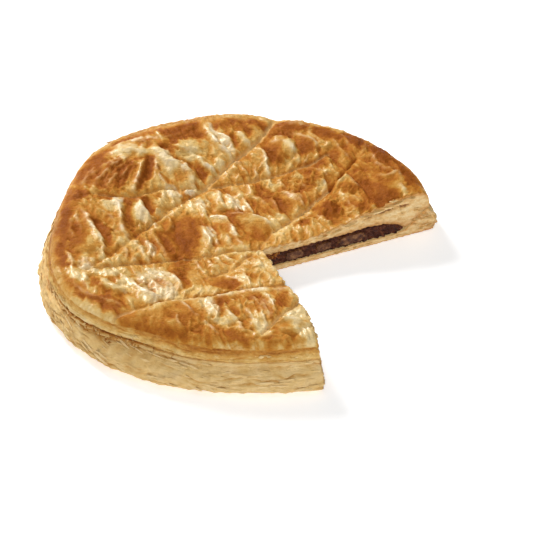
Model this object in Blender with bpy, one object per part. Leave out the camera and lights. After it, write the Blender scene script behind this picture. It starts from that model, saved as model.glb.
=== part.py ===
"""Pear and chocolate galette des rois with a quarter cut away.

Two sheets of puff pastry are sealed round a chocolate filling with pieces of pear in it. The lid is scored with
crossing lines and has blistered in the oven, and its rim has risen higher than its middle. The cut shows the lid,
the dark filling, the pear and the base. Metres, +Z up. The origin is the middle of the round, on the table, and
the missing quarter lies towards +X and -Y.
"""

import math

import bmesh
import bpy
import numpy as np
from mathutils import Matrix, Vector

MM = 0.001

# Size of the round: its mean radius, and the slow waves that make it uneven (count, size in mm, phase in degrees)
ROUND_RADIUS = 132.2 * MM
OUTLINE_WAVES = ((1, 1.96, 13), (2, 0.85, -145), (3, 2.47, -59), (4, 3.48, 158))

# The missing quarter: where its two cuts meet, and the compass direction of each cut
CUT_CORNER = (12.5 * MM, -15.0 * MM)
FIRST_CUT_DEG = 23.0
LAST_CUT_DEG = 287.7
KEPT_ARC = math.radians(LAST_CUT_DEG - FIRST_CUT_DEG)
LID_SLICES = 116
BASE_SLICES = 64

# Heights of the layers
BASE_THICKNESS = 4.0 * MM
LAYER_GAP = 0.3 * MM
SEAM_HEIGHT = 19.0 * MM
LID_SKIN_HEIGHT = 32.0 * MM
MIDDLE_HEIGHT = 16.8 * MM
RIM_HEIGHT = 30.2 * MM
RIM_WAVE = 1.2 * MM
RIM_WAVE_DEG = 70.0
FILLING_RADIUS = 108.0 * MM
FILLING_HEIGHT = 13.4 * MM

# Shares of the radius: where the dish of the lid ends, where the rim rolls over, and where its side begins
DISH_SHARES = (0.30, 0.88)
ROLL_SHARE = 0.865
SIDE_SHARE = 0.915
ROLL_END_SHARE = 0.922
ROLL_DROP = 7.0 * MM
LEVEL_OFF_HEIGHT = 32.0 * MM
LEVEL_OFF_RISE = 4.0 * MM
LID_RINGS = 30

# The seam between lid and base wanders in and out: share of the radius, direction and reach in degrees
SEAM_SHIFTS = ((0.05, 75, 45), (0.05, 140, 40), (0.02, 185, 20), (-0.045, 230, 15))

# Behind on the left the lid slopes down outside its crest: direction and reach in degrees, shares of the radius
LID_SLOPE = (125, 22)
LID_SLOPE_SHARES = (0.83, 0.955)
LID_SLOPE_DROP = 5.0 * MM

# Score lines on the lid, as points in millimetres: three run up to the right and three cross them
SCORE_LINES = (
    ((23, 117), (11, 95), (-8, 73), (-25, 46), (-46, 25), (-61, 1), (-83, -34), (-94, -46)),
    ((77, 73), (59, 46), (40, 21), (20, 3), (7, -21), (-5, -37), (-18, -46)),
    ((38, -72), (27, -83), (20, -92), (12, -106)),
    ((-97, 34), (-84, 32), (-70, 34), (-53, 44), (-25, 47), (5, 54), (28, 62), (49, 72), (59, 80)),
    ((59, 80), (70, 62), (80, 43), (90, 22)),
    ((12, -15), (-6, -17), (-30, -27), (-44, -31), (-62, -36), (-95, -46)),
    ((30, -54), (15, -56), (0, -60), (-17, -66), (-33, -69), (-53, -80), (-75, -94)),
)
PILLOW_RISE = 1.8 * MM
PILLOW_REACH = 5.0 * MM

# Large blisters: centre, length and width in millimetres, turn of the length in degrees, rise in millimetres
BLISTERS = (
    (23, -60, 92, 62, 107, 6.0),
    (-14, -78, 60, 40, 15, 3.0),
    (-30, 0, 50, 24, 98, 1.5),
    (-45, -94, 46, 34, 10, 3.5),
    (-37, 90, 27, 12, 175, 3.2),
    (-61, -75, 18, 14, 30, 2.4),
    (-78, -64, 18, 10, 165, 3.0),
    (-97, -19, 26, 18, 100, 3.2),
    (-71, 14, 24, 15, 95, 2.6),
    (-9, -53, 22, 15, 10, 2.4),
    (27, 87, 26, 20, 100, 4.2),
    (37, 110, 27, 15, 0, 3.0),
    (44, 92, 24, 16, 110, 2.6),
    (60, 99, 26, 18, 145, 2.2),
    (78, 90, 20, 11, 115, 2.6),
    (94, 76, 20, 12, 110, 3.4),
    (95, 43, 36, 20, 100, 3.0),
    (70, 46, 20, 14, 120, 2.4),
    (58, 24, 26, 15, 100, 2.8),
    (73, 24, 18, 14, 100, 2.0),
    (48, 56, 18, 16, 120, 2.4),
    (37, 33, 24, 14, 115, 2.0),
    (27, -70, 26, 13, 98, 2.4),
    (28, -99, 20, 17, 110, 3.4),
    (12, -47, 22, 14, 110, 1.8),
    (-12, 33, 20, 15, 120, 2.2),
)

# Large folds: rise, width to the left and to the right of the crest, and the points of the crest, in millimetres
FOLDS = (
    (4.5, 15, 5, ((-56, 97), (-47, 83), (-35, 75), (-32, 68), (-29, 52))),
    (2.5, 9, 5, ((-91, 76), (-76, 84), (-68, 78))),
    (3.0, 5, 6, ((-59, 90), (-57, 70), (-48, 49))),
    (4.0, 8, 5, ((-24, 118), (-18, 99), (-6, 85), (-2, 80))),
    (2.8, 5, 6, ((-4, 110), (5, 98), (10, 93))),
    (3.0, 7, 5, ((-30, 84), (-27, 78), (-18, 67))),
    (2.6, 5, 5, ((10, 93), (17, 78), (18, 61))),
    (4.5, 6, 5, ((-68, 36), (-61, 20), (-52, 8))),
    (3.5, 7, 5, ((-90, 31), (-79, 24), (-76, 6), (-70, -9))),
    (3.5, 6, 5, ((-101, 20), (-95, 1), (-86, -15), (-86, -28))),
    (3.0, 5, 5, ((-22, 22), (-9, 17), (-3, 1), (1, -9))),
    (3.5, 5, 16, ((-10, 24), (8, 20), (21, 8))),
    (3.0, 5, 5, ((-25, 12), (-20, -5), (-18, -13))),
    (3.5, 6, 5, ((-67, -49), (-57, -65), (-46, -77))),
    (3.0, 6, 8, ((-104, -56), (-98, -66), (-79, -78), (-69, -82))),
    (3.5, 6, 14, ((-76, -91), (-57, -81), (-37, -74), (-25, -88))),
    (3.0, 10, 5, ((31, -54), (12, -57), (-5, -62), (-34, -69))),
)

# Wrinkles: they run across the long score lines, narrower than they are long
WRINKLE_TURN_DEG = -70.0
WRINKLE_WIDTH = 11.0 * MM
WRINKLE_STRETCH = 2.0
WRINKLE_RISE = 2.4 * MM
NOISE_LATTICE = 64

# Leaves of the side: how far they stand out, and how tall a leaf is
LEAF_RELIEF = 1.1 * MM
LEAF_HEIGHT = 3.2 * MM
LEAF_LENGTH = 26.0 * MM

# Pieces of pear that show in the two cuts: cut number, distance from the corner, height, length and depth
PEAR_PIECES = (
    (0, 23.0, 8.9, 11.0, 6.4),
    (0, 44.0, 9.4, 9.0, 5.6),
    (0, 64.0, 9.6, 17.0, 7.0),
    (1, 20.0, 9.0, 12.0, 6.6),
    (1, 47.0, 9.4, 15.0, 7.0),
    (1, 76.0, 9.2, 10.0, 5.8),
)
PEAR_PROUD = 0.4 * MM

COLOURS = {
    "base_pastry": ((0.72, 0.46, 0.19, 1), 0.75),
    "lid_pastry": ((0.66, 0.32, 0.07, 1), 0.40),
    "filling": ((0.045, 0.016, 0.009, 1), 0.55),
    "pear": ((0.16, 0.07, 0.03, 1), 0.45),
}


def smooth_step(low, high, value):
    """Rises from 0 at low to 1 at high with no corner at either end."""
    share = np.clip((value - low) / (high - low), 0, 1)
    return share * share * (3 - 2 * share)


def drift(x, y, cell, seed):
    """Gradient noise from about -1 to 1: seeded slopes at the corners of square cells, blended across each cell."""
    turns = np.random.default_rng(seed).uniform(0, 2 * math.pi, (NOISE_LATTICE, NOISE_LATTICE))
    u, v = x / cell + NOISE_LATTICE / 2, y / cell + NOISE_LATTICE / 2
    column, row = np.floor(u).astype(int), np.floor(v).astype(int)
    part_u, part_v = u - column, v - row
    ease_u, ease_v = (t * t * t * (t * (t * 6 - 15) + 10) for t in (part_u, part_v))

    def slope(step_u, step_v):
        turn = turns[(column + step_u) % NOISE_LATTICE, (row + step_v) % NOISE_LATTICE]
        return np.cos(turn) * (part_u - step_u) + np.sin(turn) * (part_v - step_v)

    near = slope(0, 0) * (1 - ease_u) + slope(1, 0) * ease_u
    far = slope(0, 1) * (1 - ease_u) + slope(1, 1) * ease_u
    return 1.5 * (near * (1 - ease_v) + far * ease_v)


def outline_radius(turn):
    """Radius of the round in the direction turn, seen from its middle."""
    waves = sum(size * np.cos(count * turn - math.radians(phase)) for count, size, phase in OUTLINE_WAVES)
    return ROUND_RADIUS + waves * MM


def reach_from_corner(turn):
    """Distance from the corner of the cut to the outline in the direction turn."""
    reach = np.full_like(turn, ROUND_RADIUS)
    for _ in range(12):
        x = CUT_CORNER[0] + reach * np.cos(turn)
        y = CUT_CORNER[1] + reach * np.sin(turn)
        reach = reach + outline_radius(np.arctan2(y, x)) - np.hypot(x, y)
    return reach


def bell(turn, middle_deg, reach_deg):
    """1 in a direction and less beside it, 0.37 at the reach."""
    off = (turn - math.radians(middle_deg) + math.pi) % (2 * math.pi) - math.pi
    return np.exp(-((off / math.radians(reach_deg)) ** 2))


def seam_shift(turn):
    """How much further out the seam runs in the direction turn, as a share of the radius."""
    return sum(amount * bell(turn, *where) for amount, *where in SEAM_SHIFTS)


def plan_place(share, turn):
    """The plan place a share of the way from the corner of the cut to the outline. Near the seam it moves with it."""
    moved = smooth_step(0.80, 0.90, share) - 0.65 * smooth_step(0.91, 1.0, share)
    reach = (share + moved * seam_shift(turn)) * reach_from_corner(turn)
    return CUT_CORNER[0] + reach * np.cos(turn), CUT_CORNER[1] + reach * np.sin(turn)


def way_to_line(x, y, points):
    """Distance from each point to a line of several straight parts, and on which side of it the point lies."""
    nearest = np.full_like(x, 1.0)
    side = np.ones_like(x)
    for (ax, ay), (bx, by) in zip(points, points[1:]):
        ax, ay, bx, by = ax * MM, ay * MM, bx * MM, by * MM
        length = (bx - ax) ** 2 + (by - ay) ** 2
        along = np.clip(((x - ax) * (bx - ax) + (y - ay) * (by - ay)) / length, 0, 1)
        away = np.hypot(x - ax - along * (bx - ax), y - ay - along * (by - ay))
        side = np.where(away < nearest, np.sign((bx - ax) * (y - ay) - (by - ay) * (x - ax)), side)
        nearest = np.minimum(nearest, away)
    return nearest, side


def distance_to_scores(x, y):
    """Distance from each point to the nearest score line."""
    return np.min([way_to_line(x, y, line)[0] for line in SCORE_LINES], axis=0)


def fold_height(x, y):
    """The tallest of the folds over each point, each a bank that falls away to both sides of its crest."""
    height = np.zeros_like(x)
    for rise, left, right, points in FOLDS:
        away, side = way_to_line(x, y, points)
        width = np.where(side > 0, left, right) * MM
        height = np.maximum(height, rise * MM * np.exp(-((away / width) ** 2)))
    return height


def blister_height(x, y):
    """The tallest of the blisters over each point, each a dome on a turned oval."""
    height = np.zeros_like(x)
    for middle_x, middle_y, length, width, turn, rise in BLISTERS:
        away_x, away_y = x - middle_x * MM, y - middle_y * MM
        cosine, sine = math.cos(math.radians(turn)), math.sin(math.radians(turn))
        along = (away_x * cosine + away_y * sine) / (length * MM / 2)
        across = (away_y * cosine - away_x * sine) / (width * MM / 2)
        dome = rise * MM * np.clip(1 - along**2 - across**2, 0, 1) ** 0.8
        height = np.maximum(height, dome)
    return height


def wrinkle_height(x, y):
    """Rounded wrinkles with creases between them: the size of stretched noise, bent by slower noise."""
    cosine, sine = math.cos(math.radians(WRINKLE_TURN_DEG)), math.sin(math.radians(WRINKLE_TURN_DEG))
    bend = 0.7 * WRINKLE_WIDTH * drift(x, y, 3 * WRINKLE_WIDTH, 5)
    along = (x * cosine + y * sine) / WRINKLE_STRETCH
    across = y * cosine - x * sine + bend
    return WRINKLE_RISE * np.abs(drift(along, across, WRINKLE_WIDTH, 11)) ** 0.8


def lid_height(x, y):
    """Height of the baked lid over each point: a dished middle, a risen rim, pillows, blisters, folds and wrinkles."""
    way = np.arctan2(y, x)
    share = np.hypot(x, y) / outline_radius(way)
    turn = np.arctan2(y - CUT_CORNER[1], x - CUT_CORNER[0])
    edge = np.hypot(x - CUT_CORNER[0], y - CUT_CORNER[1]) / reach_from_corner(turn) - seam_shift(turn)
    rim = RIM_HEIGHT + RIM_WAVE * np.cos(way - math.radians(RIM_WAVE_DEG))
    height = MIDDLE_HEIGHT + (rim - MIDDLE_HEIGHT) * smooth_step(*DISH_SHARES, share)
    pillow = PILLOW_RISE * (1 - np.exp(-((distance_to_scores(x, y) / PILLOW_REACH) ** 2)))
    relief = pillow + np.maximum(blister_height(x, y), fold_height(x, y)) + wrinkle_height(x, y)
    relief *= 1 - 0.6 * smooth_step(ROLL_SHARE - 0.12, SIDE_SHARE, edge)
    roll = np.clip((edge - ROLL_SHARE) / (ROLL_END_SHARE - ROLL_SHARE), 0, 1)
    height += relief - ROLL_DROP * (1 - np.sqrt(1 - roll**2))
    over = np.clip(height - LEVEL_OFF_HEIGHT, 0, None)
    height += LEVEL_OFF_RISE * np.tanh(over / LEVEL_OFF_RISE) - over
    return height - LID_SLOPE_DROP * bell(way, *LID_SLOPE) * smooth_step(*LID_SLOPE_SHARES, share)


def leaf_relief(turn, height):
    """How far the leaves of the side stand out: noise that is long round the side and short up it."""
    arc = turn * ROUND_RADIUS
    sway = 0.5 * LEAF_HEIGHT * drift(arc, height, 2 * LEAF_LENGTH, 31)
    return LEAF_RELIEF * drift(arc * LEAF_HEIGHT / LEAF_LENGTH, height + sway, LEAF_HEIGHT, 37)


def turned_solid(profile, slices):
    """A profile from the foot to the top of the cut's axis, spun through the kept arc, with both cut faces closed."""
    mesh = bmesh.new()
    points = [mesh.verts.new((radius, 0, height)) for radius, height in profile]
    line = [mesh.edges.new(pair) for pair in zip(points, points[1:])]
    first = math.radians(FIRST_CUT_DEG)
    bmesh.ops.rotate(mesh, verts=points, matrix=Matrix.Rotation(first, 3, "Z"))
    bmesh.ops.spin(mesh, geom=points + line, axis=(0, 0, 1), cent=(0, 0, 0), angle=KEPT_ARC, steps=slices)
    bmesh.ops.remove_doubles(mesh, verts=mesh.verts, dist=0.001 * MM)
    axis_ends = [v for v in mesh.verts if v.co.xy.length < 0.01 * MM]
    axis = mesh.edges.new(axis_ends)
    rim = [edge for edge in mesh.edges if edge.is_boundary]
    for cut in (FIRST_CUT_DEG, LAST_CUT_DEG):
        heading = Vector((math.cos(math.radians(cut)), math.sin(math.radians(cut))))
        face = [e for e in rim if (e.verts[0].co + e.verts[1].co).xy.normalized().dot(heading) > 0.9999]
        bmesh.ops.contextual_create(mesh, geom=face + [axis])
    bmesh.ops.recalc_face_normals(mesh, faces=mesh.faces)
    return mesh


def bake(name, profile, slices, material):
    """Spins a profile, then stretches it to the uneven outline and raises its leaves and its blistered skin."""
    mesh = turned_solid(profile, slices)
    data = bpy.data.meshes.new(name)
    mesh.to_mesh(data)
    mesh.free()
    corners = np.empty(len(data.vertices) * 3)
    data.vertices.foreach_get("co", corners)
    corners = corners.reshape(-1, 3)
    turn = np.arctan2(corners[:, 1], corners[:, 0])
    radius, height = np.hypot(corners[:, 0], corners[:, 1]), corners[:, 2].copy()
    upright = smooth_step(0.965 * ROUND_RADIUS, 0.99 * ROUND_RADIUS, radius)
    upright = upright * smooth_step(0, 4 * MM, height) * (height < LID_SKIN_HEIGHT - 0.5 * MM)
    x, y = plan_place(radius / ROUND_RADIUS, turn)
    stand_out = upright * leaf_relief(turn, height)
    x, y = x + stand_out * np.cos(turn), y + stand_out * np.sin(turn)
    skin = height > LID_SKIN_HEIGHT - 0.1 * MM
    height[skin] = lid_height(x[skin], y[skin])
    data.vertices.foreach_set("co", np.stack([x, y, height], 1).ravel())
    data.update()
    data.shade_smooth()
    data.set_sharp_from_angle(angle=math.radians(35))
    thing = bpy.data.objects.new(name, data)
    data.materials.append(material)
    return thing


def base_profile():
    """The base sheet, from the foot of the axis round the side to the top of the axis: thin inside, risen outside."""
    return (
        (0, 0),
        (128.5 * MM, 0),
        (131.0 * MM, 1.8 * MM),
        (132.6 * MM, 5.0 * MM),
        (132.3 * MM, 8.5 * MM),
        (130.2 * MM, 12.4 * MM),
        (126.8 * MM, 15.9 * MM),
        (124.4 * MM, 17.9 * MM),
        (121.6 * MM, SEAM_HEIGHT - 0.4 * MM),
        (117.0 * MM, 15.1 * MM),
        (112.0 * MM, 9.1 * MM),
        (109.0 * MM, 5.6 * MM),
        (103.0 * MM, 4.2 * MM),
        (66.0 * MM, BASE_THICKNESS),
        (0, BASE_THICKNESS),
    )


def filling_profile():
    """The filling, flat below and thinner towards the seam."""
    floor = BASE_THICKNESS + LAYER_GAP
    return (
        (0, floor),
        (66.0 * MM, floor),
        (102.6 * MM, floor + 0.2 * MM),
        (107.0 * MM, 5.7 * MM),
        (FILLING_RADIUS, 7.4 * MM),
        (103.0 * MM, 10.6 * MM),
        (92.0 * MM, 13.6 * MM),
        (66.0 * MM, 14.6 * MM),
        (33.0 * MM, 14.0 * MM),
        (0, FILLING_HEIGHT),
    )


def lid_profile():
    """The lid, from its underside on the axis, over the filling and the seam, up the side and back over its skin."""
    under = (
        (0, FILLING_HEIGHT + LAYER_GAP),
        (33.0 * MM, 14.3 * MM),
        (66.0 * MM, 14.9 * MM),
        (92.2 * MM, 13.9 * MM),
        (103.4 * MM, 10.9 * MM),
        (108.6 * MM, 7.6 * MM),
        (109.8 * MM, 7.0 * MM),
        (112.0 * MM, 9.7 * MM),
        (117.0 * MM, 15.7 * MM),
        (121.4 * MM, SEAM_HEIGHT),
        (123.0 * MM, SEAM_HEIGHT),
    )
    side = (
        (123.4 * MM, 20.4 * MM),
        (122.6 * MM, 22.2 * MM),
    )
    shares = SIDE_SHARE * (1 - np.linspace(0, 1, LID_RINGS + 1) ** 1.15)
    skin = tuple((float(share) * ROUND_RADIUS, LID_SKIN_HEIGHT) for share in shares)
    return under + side + skin


def pear_lump(place, length, depth, seed, grow=0.0):
    """An uneven rounded dice of pear, length along the cut and depth tall, turned to lie along its cut."""
    cut, along, height = place
    turn = math.radians((FIRST_CUT_DEG, LAST_CUT_DEG)[cut])
    inwards = turn + (math.pi / 2 if cut == 0 else -math.pi / 2)
    lump = bmesh.new()
    bmesh.ops.create_cube(lump, size=1)
    bmesh.ops.subdivide_edges(lump, edges=lump.edges, cuts=2, use_grid_fill=True)
    bmesh.ops.triangulate(lump, faces=lump.faces)
    generator = np.random.default_rng(seed)
    for corner in lump.verts:
        corner.co = corner.co * 0.55 + corner.co.normalized() * 0.27
        corner.co *= 1 + generator.uniform(-0.05, 0.05)
    size = Vector((length * MM + 2 * grow, length * 0.8 * MM + 2 * grow, depth * MM + 2 * grow))
    bmesh.ops.scale(lump, vec=size, verts=lump.verts)
    bmesh.ops.rotate(lump, verts=lump.verts, matrix=Matrix.Rotation(turn, 3, "Z"))
    sunk = 0.15 * length * MM
    x = CUT_CORNER[0] + along * MM * math.cos(turn) + sunk * math.cos(inwards)
    y = CUT_CORNER[1] + along * MM * math.sin(turn) + sunk * math.sin(inwards)
    bmesh.ops.translate(lump, verts=lump.verts, vec=(x, y, height * MM))
    return lump


def add_pear(number, piece, collection, material):
    """A piece of pear, trimmed a little proud of its cut so that it shows in it."""
    cut, along, height, length, depth = piece
    lump = pear_lump((cut, along, height), length, depth, 100 + number)
    turn = math.radians((FIRST_CUT_DEG, LAST_CUT_DEG)[cut])
    outwards = turn + (-math.pi / 2 if cut == 0 else math.pi / 2)
    normal = Vector((math.cos(outwards), math.sin(outwards), 0))
    plane = Vector((*CUT_CORNER, 0)) + normal * PEAR_PROUD
    everything = lump.verts[:] + lump.edges[:] + lump.faces[:]
    trimmed = bmesh.ops.bisect_plane(lump, geom=everything, plane_co=plane, plane_no=normal, clear_outer=True)
    rim = [item for item in trimmed["geom_cut"] if isinstance(item, bmesh.types.BMEdge)]
    bmesh.ops.contextual_create(lump, geom=rim)
    bmesh.ops.recalc_face_normals(lump, faces=lump.faces)
    name = f"pear_piece_{number + 1}"
    data = bpy.data.meshes.new(name)
    lump.to_mesh(data)
    lump.free()
    data.materials.append(material)
    collection.objects.link(bpy.data.objects.new(name, data))


def cut_pear_pockets(filling, cutters):
    """Room for every piece of pear in the filling, a little larger than the piece."""
    for number, (cut, along, height, length, depth) in enumerate(PEAR_PIECES):
        lump = pear_lump((cut, along, height), length, depth, 100 + number, grow=LAYER_GAP)
        data = bpy.data.meshes.new(f"pear_pocket_{number + 1}")
        lump.to_mesh(data)
        lump.free()
        pocket = bpy.data.objects.new(data.name, data)
        pocket.hide_render = True
        pocket.display_type = "WIRE"
        cutters.objects.link(pocket)
        cut_out = filling.modifiers.new(pocket.name, "BOOLEAN")
        cut_out.operation = "DIFFERENCE"
        cut_out.object = pocket


def make_material(name):
    """A plain Principled material in the named colour and roughness."""
    colour, roughness = COLOURS[name]
    material = bpy.data.materials.new(name)
    material.use_nodes = True
    shader = material.node_tree.nodes["Principled BSDF"]
    shader.inputs["Base Color"].default_value = colour
    shader.inputs["Roughness"].default_value = roughness
    return material


def main():
    for thing in list(bpy.data.objects):
        bpy.data.objects.remove(thing)
    galette = bpy.data.collections.new("galette")
    cutters = bpy.data.collections.new("cutters")
    for collection in (galette, cutters):
        bpy.context.scene.collection.children.link(collection)
    materials = {name: make_material(name) for name in COLOURS}
    base = bake("base_pastry", base_profile(), BASE_SLICES, materials["base_pastry"])
    filling = bake("filling", filling_profile(), BASE_SLICES, materials["filling"])
    lid = bake("lid_pastry", lid_profile(), LID_SLICES, materials["lid_pastry"])
    for thing in (base, filling, lid):
        galette.objects.link(thing)
    cut_pear_pockets(filling, cutters)
    for number, piece in enumerate(PEAR_PIECES):
        add_pear(number, piece, galette, materials["pear"])


main()
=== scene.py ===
"""Looks of a pear and chocolate galette des rois with a wedge cut out.

Lid, base and filling are each one closed surface. A ring is carried from the middle of the top outwards,
down the side and back in below, and the two cut faces are grids between the top edge and the bottom edge.
Every height is a function of the place on the round: a dish, cushions between the scored lines, domes for
the blisters, and noise.
"""

import math

import bpy
import numpy as np
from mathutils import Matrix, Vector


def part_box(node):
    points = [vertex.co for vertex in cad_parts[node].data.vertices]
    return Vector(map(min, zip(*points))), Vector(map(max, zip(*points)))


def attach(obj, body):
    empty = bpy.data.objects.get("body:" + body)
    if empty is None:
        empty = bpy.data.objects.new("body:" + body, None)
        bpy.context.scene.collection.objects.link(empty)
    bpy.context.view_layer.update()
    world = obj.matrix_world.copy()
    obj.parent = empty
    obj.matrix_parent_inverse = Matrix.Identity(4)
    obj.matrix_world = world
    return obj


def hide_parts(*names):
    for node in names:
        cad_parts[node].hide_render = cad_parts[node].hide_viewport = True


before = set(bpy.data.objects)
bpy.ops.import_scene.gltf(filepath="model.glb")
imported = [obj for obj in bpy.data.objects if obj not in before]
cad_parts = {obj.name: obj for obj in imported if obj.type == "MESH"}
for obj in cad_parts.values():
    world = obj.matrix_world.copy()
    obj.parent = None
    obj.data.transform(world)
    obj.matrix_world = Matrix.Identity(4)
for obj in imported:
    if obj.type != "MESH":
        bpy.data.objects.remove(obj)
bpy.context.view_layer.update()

MM = 0.001

# The camera's angle and distance, and the pixel of the photograph where the middle of the round is seen
CAMERA_ELEVATION = math.radians(38.0)
CAMERA_DISTANCE = 0.9
IMAGE_SIZE = 540
FOCAL_PIXELS = 1391.5
MIDDLE_PIXEL = (241.5, 260.0)
SENSOR_WIDTH = 36.0

# The round: its mean radius, and its waves as count round it, size in millimetres and direction in degrees
ROUND_RADIUS = 132.2 * MM
OUTLINE_WAVES = ((1, 1.96, 13), (2, 0.85, -145), (3, 2.47, -59), (4, 3.48, 158))

# The wedge that is cut out: its corner, the directions of both cuts from there, and each cut with the side
# of it where the gap is, -1 clockwise of it
CUT_CORNER = np.array((12.5, -15.0)) * MM
FIRST_CUT = math.radians(23.0)
LAST_CUT = math.radians(287.7)
KEPT_ARC = LAST_CUT - FIRST_CUT
CUTS = ((FIRST_CUT, -1), (LAST_CUT, 1))

# Noise repeats after this many cells. Relief and browned places are bent by waves of it, each with its size
# and cell in millimetres and a seed for x and for y. The second cut reads its noise this far from the first's
NOISE_LATTICE = 64
RELIEF_WAVES = ((1.6, 11, 3, 4), (0.6, 4, 7, 8))
BROWN_WAVES = ((3.0, 9, 53, 54), (1.5, 3.5, 55, 56))
CUT_NOISE_SHIFT = 300 * MM
PEAR_SEED = 80
CRUMB_SEED = 301
SIDE_FLAKE_SEED = 302
CUT_FLAKE_SEED = 303

# Steps in which the outline is met from the cut's corner, a line of sight meets the plain dish, and the
# blisters settle at the places where they are seen
OUTLINE_STEPS = 12
SIGHT_STEPS = 2
BLISTER_STEPS = 3

# Heights and shares of the radius, as on the plain model
SEAM_HEIGHT = 19.0 * MM
MIDDLE_HEIGHT = 16.8 * MM
RIM_HEIGHT = 30.2 * MM
RIM_WAVE = 1.2 * MM
RIM_WAVE_DEG = 70.0
DISH_SHARES = (0.30, 0.88)
ROLL_SHARE = 0.865
SIDE_SHARE = 0.915
ROLL_END_SHARE = 0.922
ROLL_DROP = 7.0 * MM
LEVEL_OFF_HEIGHT = 32.0 * MM
LEVEL_OFF_RISE = 4.0 * MM

# The lid's lines, blisters, folds and patches are placed as they look from the camera, over a plain dish
# whose height grows from the middle outwards: its height in the middle, what it gains, and the radius where
# it has gained it
VIEWPOINT = (
    0.0,
    -round(CAMERA_DISTANCE * math.cos(CAMERA_ELEVATION), 4),
    round(CAMERA_DISTANCE * math.sin(CAMERA_ELEVATION), 4),
)
PLAIN_DISH = (19 * MM, 11 * MM, 112 * MM)

# The seam between lid and base wanders in and out: share of the radius, direction and reach in degrees
SEAM_SHIFTS = (
    (0.05, 75, 45), (0.05, 140, 40), (0.03, 132, 16), (0.02, 185, 20), (-0.045, 230, 15), (0.015, 100, 8),
    (-0.025, 85, 4), (0.02, 30, 12),
)

# Behind on the left the lid slopes down outside its crest: the direction of that part and its reach in
# degrees, the shares of the radius where the slope starts and ends, and how far down it goes
SLOPE_DEG = 125.0
SLOPE_HALF_DEG = 22.0
SLOPE_SHARES = (0.83, 0.955)
SLOPE_DROP = 4.0 * MM

# The seam between lid and base is this deep in millimetres, and gapes at the front left: the middle of that
# part, half its width, and how much deeper it is there
LEAST_SEAM_DEPTH = 0.3
SEAM_GAPE_DEG = 218.0
SEAM_GAPE_HALF_DEG = 17.0
SEAM_GAPE_DEPTH = 2.8

# How tall the leaves of the flaky side are, and how much of the base's relief the lid's side has. How far
# the lid's side bulges in millimetres, and how far down it the lip starts that turns in over the seam
LEAF_HEIGHT = 2.1 * MM
LID_RELIEF_SHARE = 0.75
SIDE_BULGE = 2.4
LIP_START = 0.72

# The base's foot is tucked in at the front left: direction, half the span in degrees, how far, and the
# heights up to which it is tucked in by all of that and by any
TUCK_DEG = 209.0
TUCK_HALF_DEG = 18.0
TUCK = 4.2 * MM
TUCK_HEIGHTS = (9 * MM, 18 * MM)

# The leaves that show in the cuts are this tall. An air gap under the lid's top leaves climbs outwards: its
# height and the way from the corner at which it has that, how much it climbs, half how tall it is, and the
# ways from the corner between which it opens and closes
CUT_LEAF_HEIGHT = 1.4 * MM
AIR_GAP_HEIGHT = 21.5 * MM
AIR_GAP_START = 70 * MM
AIR_GAP_CLIMB = 0.13
AIR_GAP_HALF = 0.75 * MM
AIR_GAP_OPENS = (66 * MM, 78 * MM)
AIR_GAP_CLOSES = (110 * MM, 101 * MM)

# Scored lines in millimetres, as on the plain model, each with the half width and the depth of its groove,
# and how pale the dough is in it: below 0 it is darker than beside it, as painted shade in the crease
SCORES = (
    (1.6, 1.0, 1.1, ((23, 117), (11, 95), (-8, 73), (-25, 46))),
    (0.9, 0.7, 0.5, ((-25, 46), (-46, 25), (-61, 1))),
    (0.9, 0.2, 0.1, ((-61, 1), (-83, -34), (-94, -46))),
    (0.9, 0.9, -0.3, ((77, 73), (68, 59), (57, 42))),
    (1.1, 0.8, 1.1, ((57, 42), (40, 21), (20, 3))),
    (0.8, 0.4, 0.4, ((20, 3), (7, -21), (-5, -37), (-18, -46))),
    (1.1, 0.7, 1.1, ((38, -72), (27, -83), (20, -92), (12, -106))),
    (1.0, 0.45, 0.3, ((-97, 34), (-84, 32), (-70, 34), (-53, 44), (-25, 47))),
    (0.9, 0.5, 0.6, ((-25, 47), (5, 54), (28, 62), (49, 72), (59, 80))),
    (0.7, 0.7, -0.4, ((59, 80), (70, 62), (80, 43), (90, 22))),
    (0.9, 0.6, 0.6, ((12, -15), (-6, -17), (-30, -27), (-44, -31), (-62, -36), (-95, -46))),
    (1.0, 0.8, 0.6, ((30, -54), (15, -56), (0, -60), (-17, -66), (-33, -69), (-53, -80), (-75, -94))),
)
PILLOW_RISE = 1.2 * MM
PILLOW_REACH = 4.5 * MM

# Blisters: centre, length and width in millimetres, turn in degrees, rise in millimetres
BLISTERS = (
    (23, -60, 92, 62, 107, 6.0),
    (-14, -78, 60, 40, 15, 3.0),
    (-30, 0, 50, 24, 98, 1.5),
    (-45, -94, 46, 34, 10, 3.5),
    (-37, 90, 27, 12, 175, 3.2),
    (-61, -75, 18, 14, 30, 1.2),
    (-78, -64, 18, 10, 165, 1.4),
    (-97, -19, 26, 18, 100, 3.2),
    (-71, 14, 24, 15, 95, 2.6),
    (-9, -53, 22, 15, 10, 2.4),
    (27, 87, 26, 20, 100, 4.2),
    (37, 110, 27, 15, 0, 3.0),
    (44, 92, 24, 16, 110, 2.6),
    (60, 99, 26, 18, 145, 2.2),
    (78, 90, 20, 11, 115, 2.6),
    (94, 76, 20, 12, 110, 3.4),
    (95, 43, 36, 20, 100, 3.0),
    (70, 46, 20, 14, 120, 2.4),
    (58, 24, 26, 15, 100, 2.8),
    (73, 24, 18, 14, 100, 2.0),
    (48, 56, 18, 16, 120, 2.4),
    (37, 33, 24, 14, 115, 2.0),
    (27, -70, 26, 13, 98, 2.4),
    (28, -99, 20, 17, 110, 3.4),
    (12, -47, 22, 14, 110, 1.8),
    (-12, 33, 20, 15, 120, 2.2),
    (-28, 35, 14, 10, 130, 1.5),
)

# What the rises of the folds are multiplied by
FOLD_GAIN = 1.1

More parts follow.
